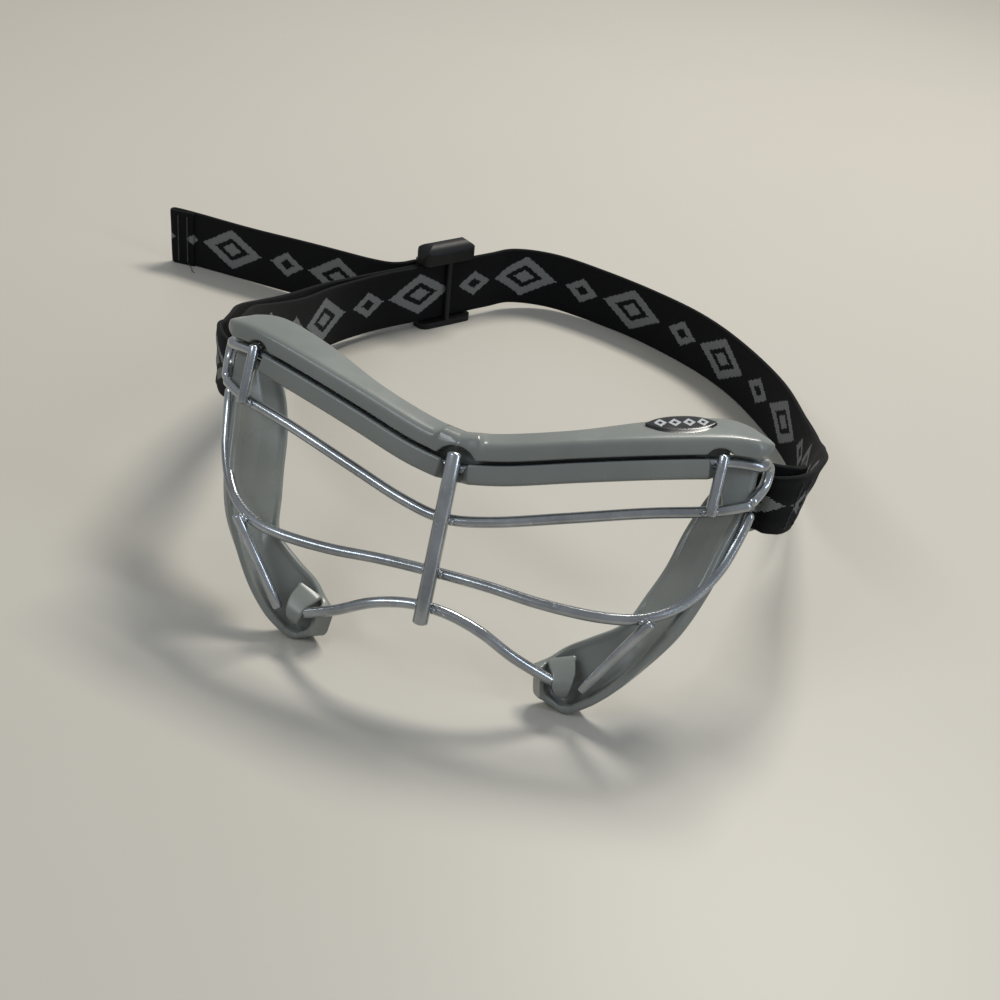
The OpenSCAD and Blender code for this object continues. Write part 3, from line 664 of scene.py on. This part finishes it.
def strut_frame():
    """Weld of the right strut on the rim wire, and the strut's down, front and sideways directions."""
    rim = half_wire("rim")
    down = unit(STRUT_FOOT - rim[4])
    run = unit(rim[5] - rim[3])
    return rim[4], down, unit(np.cross(run, -down)), run


class GOGGLES_OT_wires(bpy.types.Operator):
    """Sweep the four cross wires, and stand the midline bar, temple bars and struts against them"""

    bl_idname = "goggles.wires"
    bl_label = "Cage wires"

    def execute(self, context):
        coat, radius = material("Cage coat", cage_coat), wire_radius()
        sides = context.scene.goggle_wires.sides
        halves = {kind: half_wire(kind) for kind in STATIONS}
        halves["brow"] = np.vstack([halves["brow"], half_wire("loop", "brow"), halves["eye"][-1:] + LOOP_END])
        for kind, half in halves.items():
            rings = tube(spline(both_sides(half), 10), radius, BACK, sides)
            make("wire_" + kind, [rings], coat, "cage_wire", kind + "_wire")
        rings = straight(BAR_FOOT, BAR_FOOT + UP * BAR_LENGTH, BAR_RADIUS, sides)
        make("bar_centre", [rings], coat, "cage_wire", "centre_bar")
        upper, lower, up, _, front = temple_frame()
        step = front * (2 * radius + WIRE_GAP)
        bar = straight(lower + step - up * BAR_BELOW, upper + step + up * BAR_ABOVE, radius, sides)
        weld, down, front, _ = strut_frame()
        head = weld + front * (2 * radius + STRUT_GAP) - down * STRUT_ABOVE
        strut = straight(head, STRUT_FOOT, radius, sides)
        make_pair(coat, "cage_wire", ("bar_temple_", bar, "temple_bar_", None),
                  ("strut_", strut, "cheek_strut_", None))
        return {"FINISHED"}


def bead(middle, long, wide, high):
    """Rings of a weld bead: a ball by latitude and longitude, stretched along the weld and gently lumped."""
    lat = np.linspace(0.06, math.pi - 0.06, 12)[:, None]
    lon = np.arange(16) * 2 * math.pi / 16
    lump = 1 + 0.06 * np.sin(3 * lon + 2 * lat) + 0.04 * np.cos(5 * lat + lon)
    ball = np.stack([1.25 * np.cos(lat) + 0 * lon, np.sin(lat) * np.cos(lon), np.sin(lat) * np.sin(lon)], -1)
    return middle + BEAD_RADIUS * lump[..., None] * (ball @ np.array([long, wide, high]))


class GOGGLES_OT_welds(bpy.types.Operator):
    """Run a small weld bead up each side of every crossing that shows"""

    bl_idname = "goggles.welds"
    bl_label = "Weld beads"

    def execute(self, context):
        beads = [bead(BAR_FOOT + UP * STATIONS[kind] + BACK * 1.6 + ACROSS * side * (BAR_RADIUS + 0.1),
                      UP, ACROSS, BACK) for kind in ("eye", "rim", "nose") for side in (-1, 1)]
        _, lower, up, along, front = temple_frame()
        weld, down, strut_front, run = strut_frame()
        out = 2 * wire_radius() + 0.1 - BEAD_DEPTH
        for side in (-1, 1):
            for way in (-BEAD_STEP, BEAD_STEP):
                across = np.cross(strut_front, down)
                pair = [bead(lower + front * out + along * way, up, along, front),
                        bead(weld + strut_front * out + across * way, down, run, strut_front)]
                beads += [grid * [side, 1, 1] for grid in pair]
        make("weld_runs", beads, material("Cage coat", cage_coat), "cage_wire", "weld_beads")
        return {"FINISHED"}


# The mouldings
def brow_spine():
    """Brow wire's points with the flange depth as a fourth column, and a last one past the temple."""
    half = half_wire("brow")
    last = [HALF_WIDTH + 3, half[5, 1] + 3.4, half[5, 2] - 0.6, FLANGE_DEPTHS[6]]
    return np.vstack([np.column_stack([half[:6], FLANGE_DEPTHS[:6]]), last])


def brow_profile(x, depth):
    """Section of the brow: a C round the wire whose upper lip rises by a half circle over each bar.

    Columns are millimetres in front of the wire and above it. The lower lip stands up in front of the wire
    away from the bars. Past the groove's end first the lip ends, then the wall, and only the flange goes on.
    """
    r, x = wire_radius(), np.abs(x)
    groove = r + 0.4
    back = np.minimum(groove + GROOVE_WALL, depth - 0.2)
    far = np.abs(x - TEMPLE_BAR)

    def arch(distance, radius):
        return np.sqrt(np.clip(radius**2 - distance**2, 0, None))

    lip = np.maximum(groove + 0.3, np.maximum(arch(x, CENTRE_ARCH), arch(far, TEMPLE_ARCH)))
    hood = np.clip(2.6 - 2.6 * (x / (CENTRE_ARCH + 1.9))**2, 0, 1)
    relief = np.maximum(0, np.maximum(1 - x / (BAR_RADIUS + 1.6), 1 - far / (r + 1.4)))
    ridge = UPPER_LIP + FLANGE_RISE * depth
    cover = 1 - np.minimum(1, 1.6 * relief)
    front = 0.5 + 2.7 * cover
    low_top = (0.15 - groove) * (1 - cover) + LIP_COVER * cover
    inner = np.minimum(groove, front - 0.9)
    # From the upper lip over the flange to the wall's back, then on round the lower lip and the groove
    top = [(2.7 + 0.7 * hood, lip), (2.8 + 0.8 * hood, np.maximum(UPPER_LIP - 2.2, lip + 0.6)),
           (2.3 + 0.6 * hood, UPPER_LIP - 0.7 + 1.3 * hood), (1.1, UPPER_LIP + 1.7 * hood),
           (0.5 - depth, ridge), (-depth, ridge - 0.7), (0.4 - depth, ridge - FLANGE_THICKNESS),
           (-(back + 0.1), UPPER_LIP + FLANGE_RISE * back - FLANGE_THICKNESS - 0.4),
           (-back, UPPER_LIP - FLANGE_THICKNESS - 0.8)]
    low = [(-back, 1 - LOWER_LIP), (1.2 - back, -LOWER_LIP), (front - 0.9, -LOWER_LIP),
           (front, 0.9 - LOWER_LIP), (front, low_top), (inner, low_top), (inner, -groove), (-groove, -groove),
           (-groove, lip)]
    wall = [(-back, 1 - LOWER_LIP), (0.5 - back, -LOWER_LIP),
            *((-groove, level - LOWER_LIP) for level in (0.1, 0.5, 0.9, 1.3, 1.7, 2.1)), (-groove, lip)]
    plain = [(-back + (back - groove) * k / 8, lip) for k in range(9)]
    top, low, wall, plain = (outlines(part, len(x)) for part in (top, low, wall, plain))
    x = x[:, None, None]
    lower = np.where(x < GROOVE_END, low, np.where(x < GROOVE_END + 1.2, wall, plain))
    return np.concatenate([top, lower], 1)


class GOGGLES_OT_brow(bpy.types.Operator):
    """Carry the brow moulding's C section along the brow wire"""

    bl_idname = "goggles.brow"
    bl_label = "Brow moulding"

    def execute(self, context):
        places = [np.linspace(0, CENTRE_ARCH, 22), np.linspace(CENTRE_ARCH + 0.4, CENTRE_ARCH + 2.8, 7),
                  np.linspace(CENTRE_ARCH + 3.6, TEMPLE_BAR - TEMPLE_ARCH - 0.6, 46),
                  TEMPLE_BAR + TEMPLE_ARCH * np.sin(np.linspace(-math.pi / 2, math.pi / 2, 31)),
                  np.linspace(TEMPLE_BAR + TEMPLE_ARCH + 0.5, HALF_WIDTH - 0.6, 14)]
        half = spline_at(brow_spine(), np.concatenate(places))
        path = both_sides(half[:, :3])
        depth = np.concatenate([half[:0:-1, 3], half[:, 3]])
        section = filleted(brow_profile(path[:, 0], depth), context.scene.goggle_mouldings.edge * MM)
        tip = np.clip((HALF_WIDTH - np.abs(path[:, 0])) / TIP_TAPER, 0, 1)[:, None, None]
        middle = np.array([0.0, UPPER_LIP - 1.6])
        grid = carry(path, UP, middle + (section - middle) * np.sqrt(tip))
        finish = material("Grey moulding", grey_moulding)
        make("brow_moulding", [grid], finish, "moulding", "brow_pad", sharp=42)
        return {"FINISHED"}


def pad_rings():
    """Rings of the right cheek pad: a dished band with a raised lip along the outer edge.

    The lip rises with the square of the way down. By the foot the floor rises to it and closes the pocket.
    """
    outer, inner = spline(PAD_OUTER, 9), spline(PAD_INNER, 9)
    share = np.linspace(0, 1, len(outer))
    across, w = unit(inner - outer), np.linalg.norm(inner - outer, axis=-1)
    rise = PAD_LIP * (1 + 0.5 * share**2)
    shut = np.clip((share - POCKET_END) / 0.04, 0, 1)
    lip, floor = PAD_THICKNESS + rise, PAD_THICKNESS + rise * shut
    brim = PAD_THICKNESS + 0.5 + 0.5 * rise * shut
    profile = [(0, 0), (w - 0.8, 0), (w, 0.9), (w - 0.3, brim), (w - 1.4, brim), (w - 2.4, floor - 0.2),
               (w / 2, floor - 0.6 * (1 - shut)), (3.2, floor), (2.0, np.minimum(floor + 0.5, lip)),
               (1.5, lip), (-0.2, lip), (-0.9, lip - 0.8), (-0.9, 0.8)]
    face = -unit(np.cross(runs((outer + inner) / 2), across))
    grid = lay(outer, filleted(outlines(profile, len(w)), SOFT_EDGE), across, face)
    grid[..., 2] = np.maximum(grid[..., 2], 0)
    return grid


def flap_rings():
    """Rings of the right flap: from the pad's inner lip over the nose wire's end, narrowing to its tip."""
    steps = [[0.5, 4.8, 4.2], [0.8, 3.1, 4.0], [2.0, 0.6, 2.8], [2.5, -2.1, 0.2], [2.8, -1.4, -2.5],
             [3.0, 0.9, -4.7]]
    route = spline(half_wire("nose")[-1] + steps, 8)
    share = np.linspace(0, 1, len(route))
    turn = share[:, None]
    across = np.array([0.87, 0.3, 0.35]) * (1 - turn) + np.array([0.958, 0.287, 0.0]) * turn
    half_t, half_w = 0.7, 3.8 * (1 - 0.88 * share**1.8)
    corners = [(half_t, -half_w), (half_t, half_w), (-half_t, half_w), (-half_t, -half_w)]
    return carry(route, across, filleted(outlines(corners, len(share)), SOFT_EDGE))


class GOGGLES_OT_cheeks(bpy.types.Operator):
    """Loft both cheek pads and fold the flaps over the nose wire's ends"""

    bl_idname = "goggles.cheeks"
    bl_label = "Cheek pads and flaps"

    def execute(self, context):
        make_pair(material("Grey moulding", grey_moulding), "moulding",
                  ("cheek_pad_", pad_rings(), "side_pad_", 42),
                  ("wire_flap_", flap_rings(), "cheek_clip_", 50))
        return {"FINISHED"}


def panel_rings():
    """Rings of the right temple panel: a slab from the flange to the eye wire, dished in a raised rim."""
    share, radius = np.linspace(0.858, 0.982, 18), wire_radius()
    upper = spline_at(half_wire("brow"), np.minimum(share, 0.98) * HALF_WIDTH)
    lower = spline_at(half_wire("eye"), np.minimum(share, 0.949) * HALF_WIDTH)
    _, _, up, _, front = temple_frame()
    top, foot = upper + up * (radius + 0.5), lower - up * radius / 2
    level = np.linspace(-0.5, 0.5, 25)
    dish = np.clip((0.36 - np.abs(level)) / 0.1, 0, 1)
    out = np.concatenate([1.2 - dish, np.full(25, -0.8)])
    rise = np.concatenate([level, level[::-1]]) * np.linalg.norm(top - foot, axis=-1)[:, None]
    profile = np.stack([np.broadcast_to(out, rise.shape), rise], -1)
    return carry((top + foot) / 2 - front * (radius + 0.5), up, profile)


def post_rings():
    """Rings of the right strap post: a round rod down behind the temple, turned in at its foot."""
    rod = [POST_HEAD + (POST_FOOT - POST_HEAD) * share for share in (0, 0.3, 0.7, 1)]
    foot = [POST_FOOT + step for step in ([-1.2, -1.0, -1.2], [-4.6, -3.6, -1.0], [-8.4, -6.0, 0.2])]
    return tube(spline(rod + foot, 8), POST_RADIUS, [0.3, 1, 0.3], 18)


class GOGGLES_OT_temples(bpy.types.Operator):
    """Dish the temple panels and stand the strap posts behind them"""

    bl_idname = "goggles.temples"
    bl_label = "Temple panels and posts"

    def execute(self, context):
        make_pair(material("Grey moulding", grey_moulding), "moulding",
                  ("panel_", panel_rings(), "temple_panel_", 50),
                  ("post_", post_rings(), "strap_post_", None))
        return {"FINISHED"}


class GOGGLES_OT_badge(bpy.types.Operator):
    """Lay the plain pointed-oval badge on the right wing of the brow"""

    bl_idname = "goggles.badge"
    bl_label = "Badge"

    def execute(self, context):
        k = np.sin(np.linspace(-math.pi / 2, math.pi / 2, 41))
        along = k * BADGE_LENGTH / 2
        spine = spline_at(brow_spine(), BADGE_SHARE * HALF_WIDTH + along * 0.93)
        path, depth = spine[:, :3], spine[:, 3:]
        wide = (0.5 + (BADGE_WIDTH - 0.5) * (1 - np.abs(k)**2.4))[:, None]
        share = np.concatenate([np.linspace(-1, 1, 15), np.linspace(1, -1, 15)])
        crown = np.sqrt(np.clip(1 - np.abs(share)**5, 0, None))
        rise = np.where(np.arange(30) < 15, crown, 0) * BADGE_THICKNESS
        sideways = share * wide / 2
        level = UPPER_LIP + FLANGE_RISE * depth * (BADGE_BACK - sideways + 1.1) / (depth + 0.6)
        grid = carry(path, UP, np.stack([sideways - BADGE_BACK, rise + level], -1))
        uv = np.stack([np.broadcast_to(along[:, None], (41, 31)),
                       np.column_stack([sideways, sideways[:, :1]])], -1) / MAP_UNIT
        make("blank_badge", [grid], material("Badge gloss", badge_gloss), "badge", "badge", sharp=50, uv=uv)
        return {"FINISHED"}


# The slider and the strap
class GOGGLES_OT_slider(bpy.types.Operator):
    """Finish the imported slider, which keeps its own shape, in satin black"""

    bl_idname = "goggles.slider"
    bl_label = "Slider"

    def execute(self, context):
        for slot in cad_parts["slider"].material_slots:
            slot.material = material("Black plastic", black_plastic)
        return {"FINISHED"}


def stop(point, lean=0.0, share=1.0, tilt=0.0):
    """One point of a strap route: its place, its lean along y, its height share and its tilt along x."""
    return [*point, lean, share, tilt]


def slide_stop(along, out):
    """Point of the straight stretch, measured along the slide and outwards from the inner layer."""
    return stop(SLIDER_SEAT + SLIDE_RUN * along + SLIDE_OUT * out + [0, 0, SLIDE_MIDDLE])


def round_post(angles, side):
    """Points on a circle round a post, at the strap's level on it."""
    middle = POST_FOOT + (POST_HEAD - POST_FOOT) * (POST_LEVEL - POST_FOOT[2]) / (POST_HEAD[2] - POST_FOOT[2])
    reach = POST_RADIUS + 0.4 + 0.8
    return [stop(middle * [side, 1, 1] + [reach * math.cos(a), reach * math.sin(a), 0], POST_LEAN, GATHERED)
            for a in np.radians(angles)]


def loop_route():
    """Sewn end, round the right post and out to the join with the main length."""
    return [stop([84.2, 56, 48.8], 0, 0.74, 0.14), stop([82.4, 51.2, 50.6], 0, 0.74, 0.1),
            stop([79.2, 46.8, 52.6], POST_LEAN / 2, 0.73), *round_post(range(100, 281, 30), 1),
            stop([79.2, 38.8, 53.5], POST_LEAN / 2, 0.75), stop([83.4, 42.2, 52.6], 0, 0.79, 0.05),
            stop([86.2, 49.5, 50.4], 0, 0.81, 0.12), stop(RIGHT_JOIN, 0, 0.83, 0.2)]


def main_route():
    """Right loop, the length round the back and through the slider, and the left wrap."""
    rear = [[80.2, 148, 13.6], [68, 175.5, 12.1], [51, 199, 11.9],
            [31, 217.5, 11.81], [8, 231, 11.78], [-14, 239, 12.0], [-36, 242.5, 12.95]]
    left = [[-98, 166, 15.5], [-101, 142, 19.5], [-101, 116, 27.5], [-97, 91, 37.5]]
    inwards = ((1, 0.4), (0.67, 0.08), (0.34, 0), (-0.34, 0), (-1, 0))
    return [*loop_route(), stop(RIGHT_JOIN + RIGHT_RUN * 12, 0, 0.85, 0.26),
            stop([86.2, 88, 36.6], 0, 0.89, 0.28), stop([85.0, 112, 24.6], 0, 0.98, 0.14),
            *(stop(point) for point in rear),
            *(slide_stop(share * STRETCH, -step) for share, step in inwards),
            *(stop(point) for point in left), stop(BAND_JOIN - BAND_RUN * 12, 0, NEAR_SHARE),
            stop(BAND_JOIN, 0, JOIN_SHARE), stop(BAND_JOIN + BAND_RUN * 5, 0, 0.83),
            stop([-82.8, 50.6, 52.4], POST_LEAN / 2, 0.8), *round_post(range(60, -151, -30), -1),
            stop([-85.2, 46.4, 52.2], POST_LEAN / 2, 0.82), stop(RETURN_JOIN - RETURN_RUN * 5, 0, 0.84),
            stop(RETURN_JOIN, 0, JOIN_SHARE)]


def return_route():
    """From the left wrap back to the slider and on inside it."""
    rear = [[-101.6, 89.4, 37.5], [-106.6, 116, 27.5], [-106.2, 144, 19.5], [-101.6, 168, 15.5]]
    half = SLIDER_LENGTH / 2
    return [stop(RETURN_JOIN, 0, JOIN_SHARE), stop(RETURN_JOIN + RETURN_RUN * 12, 0, NEAR_SHARE),
            *(stop(point) for point in rear),
            *(slide_stop(along, LAYER) for along in (-STRETCH, -(half + STRETCH) / 2, -half, 0, 9))]


def tail_route():
    """Round the slider's end bar, back over its outer side, along the free end and into the folded hem."""
    fold = [slide_stop(END_BAR - 1.2, LAYER)]
    fold += [slide_stop(END_BAR + FOLD_RADIUS * math.cos(a), BAR_LINE + FOLD_RADIUS * math.sin(a))
             for a in np.radians(np.arange(-90, 91, 30))]
    fold += [slide_stop(0, OUTER_LAYER), slide_stop(-SLIDER_LENGTH / 2, OUTER_LAYER)]
    start = np.array(fold[-1][:3])
    end = np.array([start[0] - FREE_LENGTH + 1.6, start[1] + 7.5, STRAP_MIDDLE])
    free = [start - SLIDE_RUN * 4, start + [-6.4, -5.4, -0.2], start + [-14, -5.4, -0.6],
            start + [-30, -2, -1.6], (start + [-30, -2, -2] + end) / 2, end]
    hem = [end + [-0.85 * math.sin(a), -0.85 * (1 - math.cos(a)), 0] for a in np.radians([45, 90, 135, 180])]
    hem += [end + [4, -1.75, 0], end + [9, -1.7, 0]]
    return fold + [stop(point) for point in free + hem], end


def webbing(route, steps, from_run, to_run, start=0.0):
    """Rings and map of a closed strip of elastic along a route, and the length used up to its end.

    Each ring is a slab with half-round edges, square to the path. Its faces wave slowly along the free
    lengths, and ripple in five half waves where the height share is under one. The map holds the length along
    the strip and the place across it, in tenths of a metre.
    """
    strap = bpy.context.scene.goggle_strap
    high, thick = strap.height * MM, strap.thickness * MM
    curve = spline(route, steps, EVENING)
    path, (lean, share, tilt) = curve[:, :3], curve[:, 3:].T
    along = runs(path)
    along[0], along[-1] = from_run, to_run
    gone = start + np.append(0, np.cumsum(np.linalg.norm(np.diff(path, axis=0), axis=-1)))
    face, flat = np.linspace(-1, 1, 17), np.zeros(17)
    arc = np.radians([-60, -30, 0, 30, 60])
    level = np.concatenate([face, np.ones(5), face[::-1], -np.ones(5)])
    edge_up = np.concatenate([flat, np.cos(arc), flat, -np.cos(arc)]) * thick / 2
    edge_side = np.concatenate([flat + 1, -np.sin(arc), flat - 1, np.sin(arc)]) * thick / 2
    from_slider = np.linalg.norm(path - SLIDER_SEAT - [0, 0, SLIDE_MIDDLE], axis=-1)
    free = (np.clip((from_slider - 30) / 30, 0, 1) * np.clip((share - 0.9) * 10, 0, 1))[:, None]
    wave = 0.22 * free * np.sin(gone[:, None] / 9.5 + 2.2 * level) * level**2
    pleat = 0.9 * (1 - share)[:, None] * np.sin(2 * math.pi * 2.5 * level / 2)
    profile = np.stack([edge_side + wave + pleat, level * (high * share[:, None] - thick) / 2 + edge_up], -1)
    grid = carry(path, np.stack([tilt, lean, np.ones_like(lean)], -1), profile, along)
    across = level * (high - thick) / 2 + edge_up
    across = np.broadcast_to(np.append(across, across[0]), (len(path), len(across) + 1))
    return grid, np.stack([np.broadcast_to(gone[:, None], across.shape), across], -1) / MAP_UNIT, gone[-1]


class GOGGLES_OT_strap(bpy.types.Operator):
    """Weave the strap: the main length, the layer back to the slider, and the free end with its hem"""

    bl_idname = "goggles.strap"
    bl_label = "Elastic strap"

    def execute(self, context):
        elastic, high = material("Woven elastic", woven_elastic), context.scene.goggle_strap.height
        grid, uv, used = webbing(main_route(), 10, -RIGHT_RUN, RETURN_RUN)
        piece = make("strap_main", [grid], elastic, "webbing",
                     "strap_loop_right", "strap_band", "strap_wrap_left", uv=uv)
        grid, uv, back = webbing(return_route(), 10, RETURN_RUN, SLIDE_RUN, used)
        piece = make("strap_back_layer", [grid], elastic, "webbing", "strap_return", body=None, uv=uv)
        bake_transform(piece)
        grid, uv, last = webbing(tail_route()[0], 8, SLIDE_RUN, [1, 0, 0], back)
        piece = make("strap_free_end", [grid], elastic, "webbing",
                     "strap_fold", "strap_tail", "tail_hem", body=MOVING_BODY, uv=uv)
        return {"FINISHED"}


def stitch_column(middle, run, out, height, count):
    """Rings of a row of stitches across the webbing: each a thin tube, arched by a half sine along it."""
    t = np.linspace(0, 1, 6)[:, None]
    arch = middle + out * (0.12 + 0.2 * np.sin(math.pi * t)) + run * 0.15 * (t - 0.5)
    step = np.cross(out, run) * height / count
    return [tube(arch + step * (k + 0.5 - count / 2 + 0.8 * (t - 0.5)), STITCH_RADIUS, run, 6)
            for k in range(count)]


class GOGGLES_OT_seams(bpy.types.Operator):
    """Sew the right loop and the hem, and leave one loose thread end at the hem"""

    bl_idname = "goggles.seams"
    bl_label = "Seams"

    def execute(self, context):
        half, thread = context.scene.goggle_strap.thickness * MM / 2, material("Sewing thread", sewing_thread)
        loop, stitches = spline(loop_route(), 3, EVENING), []
        for i in (len(loop) - 6, len(loop) - 4):
            run = unit((loop[i + 1] - loop[i - 1])[:3])
            out = unit(np.cross(run, [loop[i, 5], 0, 1]))
            stitches += stitch_column(loop[i, :3] + out * half, run, out, *LOOP_ROW)
        make("loop_seam", stitches, thread, "thread", "loop_stitches")
        _, end = tail_route()
        run = unit([-1, 0.05, 0])
        out = unit(np.cross(run, [0, 0, 1]))
        stitches = []
        for step in (2.6, 6.8):
            stitches += stitch_column(end - run * step + out * half, run, out, *HEM_ROW)
            stitches += stitch_column(end - run * step - out * (3 * half + 0.1), run, -out, *HEM_ROW)
        loose = end - run * 7 + np.array([[0, -2.4, -10.6], [1, -3.2, -11.1], [2.4, -4.6, -11.3],
                                          [3.4, -6.4, -11.4], [5.2, -7.6, -11.45]])
        stitches.append(tube(spline(loose, 6), LOOSE_RADIUS, [0, 0, 1], 6))
        make("hem_seam", stitches, thread, "thread", "tail_stitches", body=MOVING_BODY)
        return {"FINISHED"}


# Floor, lamps and camera
def stand(name, data, right, up, back, place):
    """Lamp or camera at a place in metres, turned so that it looks away from its back direction."""
    thing = show(name, data)
    thing.matrix_world = Matrix(np.vstack([np.column_stack([right, up, back, place]), [0, 0, 0, 1]]).tolist())
    return thing


class GOGGLES_OT_stage(bpy.types.Operator):
    """Lay the pale floor, hang the soft lamps and set the camera at the photograph's angle"""

    bl_idname = "goggles.stage"
    bl_label = "Stage"

    def execute(self, context):
        stage = context.scene.goggle_stage
        mesh = bpy.data.meshes.new("floor")
        corners = [(x * FLOOR_REACH, y * FLOOR_REACH, 0) for x, y in ((-1, -1), (1, -1), (1, 1), (-1, 1))]
        mesh.from_pydata(corners, [], [(0, 1, 2, 3)])
        mesh.materials.append(material("Pale table", pale_table))
        show("floor", mesh)
        lamps = (("key_lamp", (0.2, 0.62, 0.95), stage.key, (0.5, 0.22), (1.0, 0.97, 0.9)),
                 ("fill_lamp", (-0.5, -0.7, 0.9), stage.fill, (0.7, 0.16), (0.86, 0.93, 1.0)),
                 ("side_lamp", (0.95, -0.25, 0.5), stage.side, (0.12, 0.7), (0.72, 0.84, 1.0)))
        for name, place, power, size, colour in lamps:
            lamp = bpy.data.lights.new(name, "AREA")
            lamp.energy, lamp.color, lamp.shape = power, colour, "RECTANGLE"
            lamp.size, lamp.size_y = size
            facing = unit(place)
            right = unit(np.cross([0, 0, 1], facing))
            stand(name, lamp, right, np.cross(facing, right), facing, place)
        world = bpy.data.worlds.new("Soft room")
        world.use_nodes = True
        backdrop = world.node_tree.nodes["Background"]
        backdrop.inputs["Color"].default_value = (0.93, 0.96, 1.0, 1.0)
        backdrop.inputs["Strength"].default_value = 0.36
        context.scene.world = world
        context.scene.view_settings.view_transform = "Standard"
        ahead = np.array([math.sin(YAW) * math.cos(PITCH), math.cos(YAW) * math.cos(PITCH), -math.sin(PITCH)])
        level = np.array([math.cos(YAW), -math.sin(YAW), 0.0])
        above = np.cross(level, ahead)
        right = math.cos(ROLL) * level + math.sin(ROLL) * above
        up = math.cos(ROLL) * above - math.sin(ROLL) * level
        camera = bpy.data.cameras.new("photo_camera")
        camera.lens, camera.sensor_width, camera.clip_start = LENS, SENSOR, 0.01
        context.scene.camera = stand("photo_camera", camera, right, up, -ahead, (EYE + HOME) / MM)
        return {"FINISHED"}


class GOGGLES_PT_panel(bpy.types.Panel):
    """Sidebar panel with the goggles' settings and pieces"""

    bl_idname = "GOGGLES_PT_panel"
    bl_label = "Wire-cage goggles"
    bl_space_type = "VIEW_3D"
    bl_region_type = "UI"
    bl_category = "Goggles"

    def draw(self, context):
        layout = self.layout
        for group_name in SETTINGS:
            settings = getattr(context.scene, group_name)
            box = layout.box()
            for label in settings.__annotations__:
                box.prop(settings, label)
        for operator in OPERATORS:
            layout.operator(operator.bl_idname)


SETTINGS = {
    "goggle_wires": WireSettings,
    "goggle_mouldings": MouldingSettings,
    "goggle_strap": StrapSettings,
    "goggle_stage": StageSettings,
}
OPERATORS = (
    GOGGLES_OT_wires, GOGGLES_OT_welds, GOGGLES_OT_brow, GOGGLES_OT_cheeks, GOGGLES_OT_temples,
    GOGGLES_OT_badge, GOGGLES_OT_slider, GOGGLES_OT_strap, GOGGLES_OT_seams, GOGGLES_OT_stage,
)


def register():
    for group_name, settings in SETTINGS.items():
        bpy.utils.register_class(settings)
        setattr(bpy.types.Scene, group_name, PointerProperty(type=settings))
    for operator in OPERATORS:
        bpy.utils.register_class(operator)
    bpy.utils.register_class(GOGGLES_PT_panel)


def unregister():
    bpy.utils.unregister_class(GOGGLES_PT_panel)
    for operator in reversed(OPERATORS):
        bpy.utils.unregister_class(operator)
    for group_name, settings in SETTINGS.items():
        delattr(bpy.types.Scene, group_name)
        bpy.utils.unregister_class(settings)


def main():
    """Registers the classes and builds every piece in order."""
    register()
    bpy.ops.goggles.stage()
    bpy.ops.goggles.wires()
    bpy.ops.goggles.welds()
    bpy.ops.goggles.brow()
    bpy.ops.goggles.cheeks()
    bpy.ops.goggles.temples()
    bpy.ops.goggles.badge()
    bpy.ops.goggles.slider()
    bpy.ops.goggles.strap()
    bpy.ops.goggles.seams()


if __name__ == "__main__":
    main()
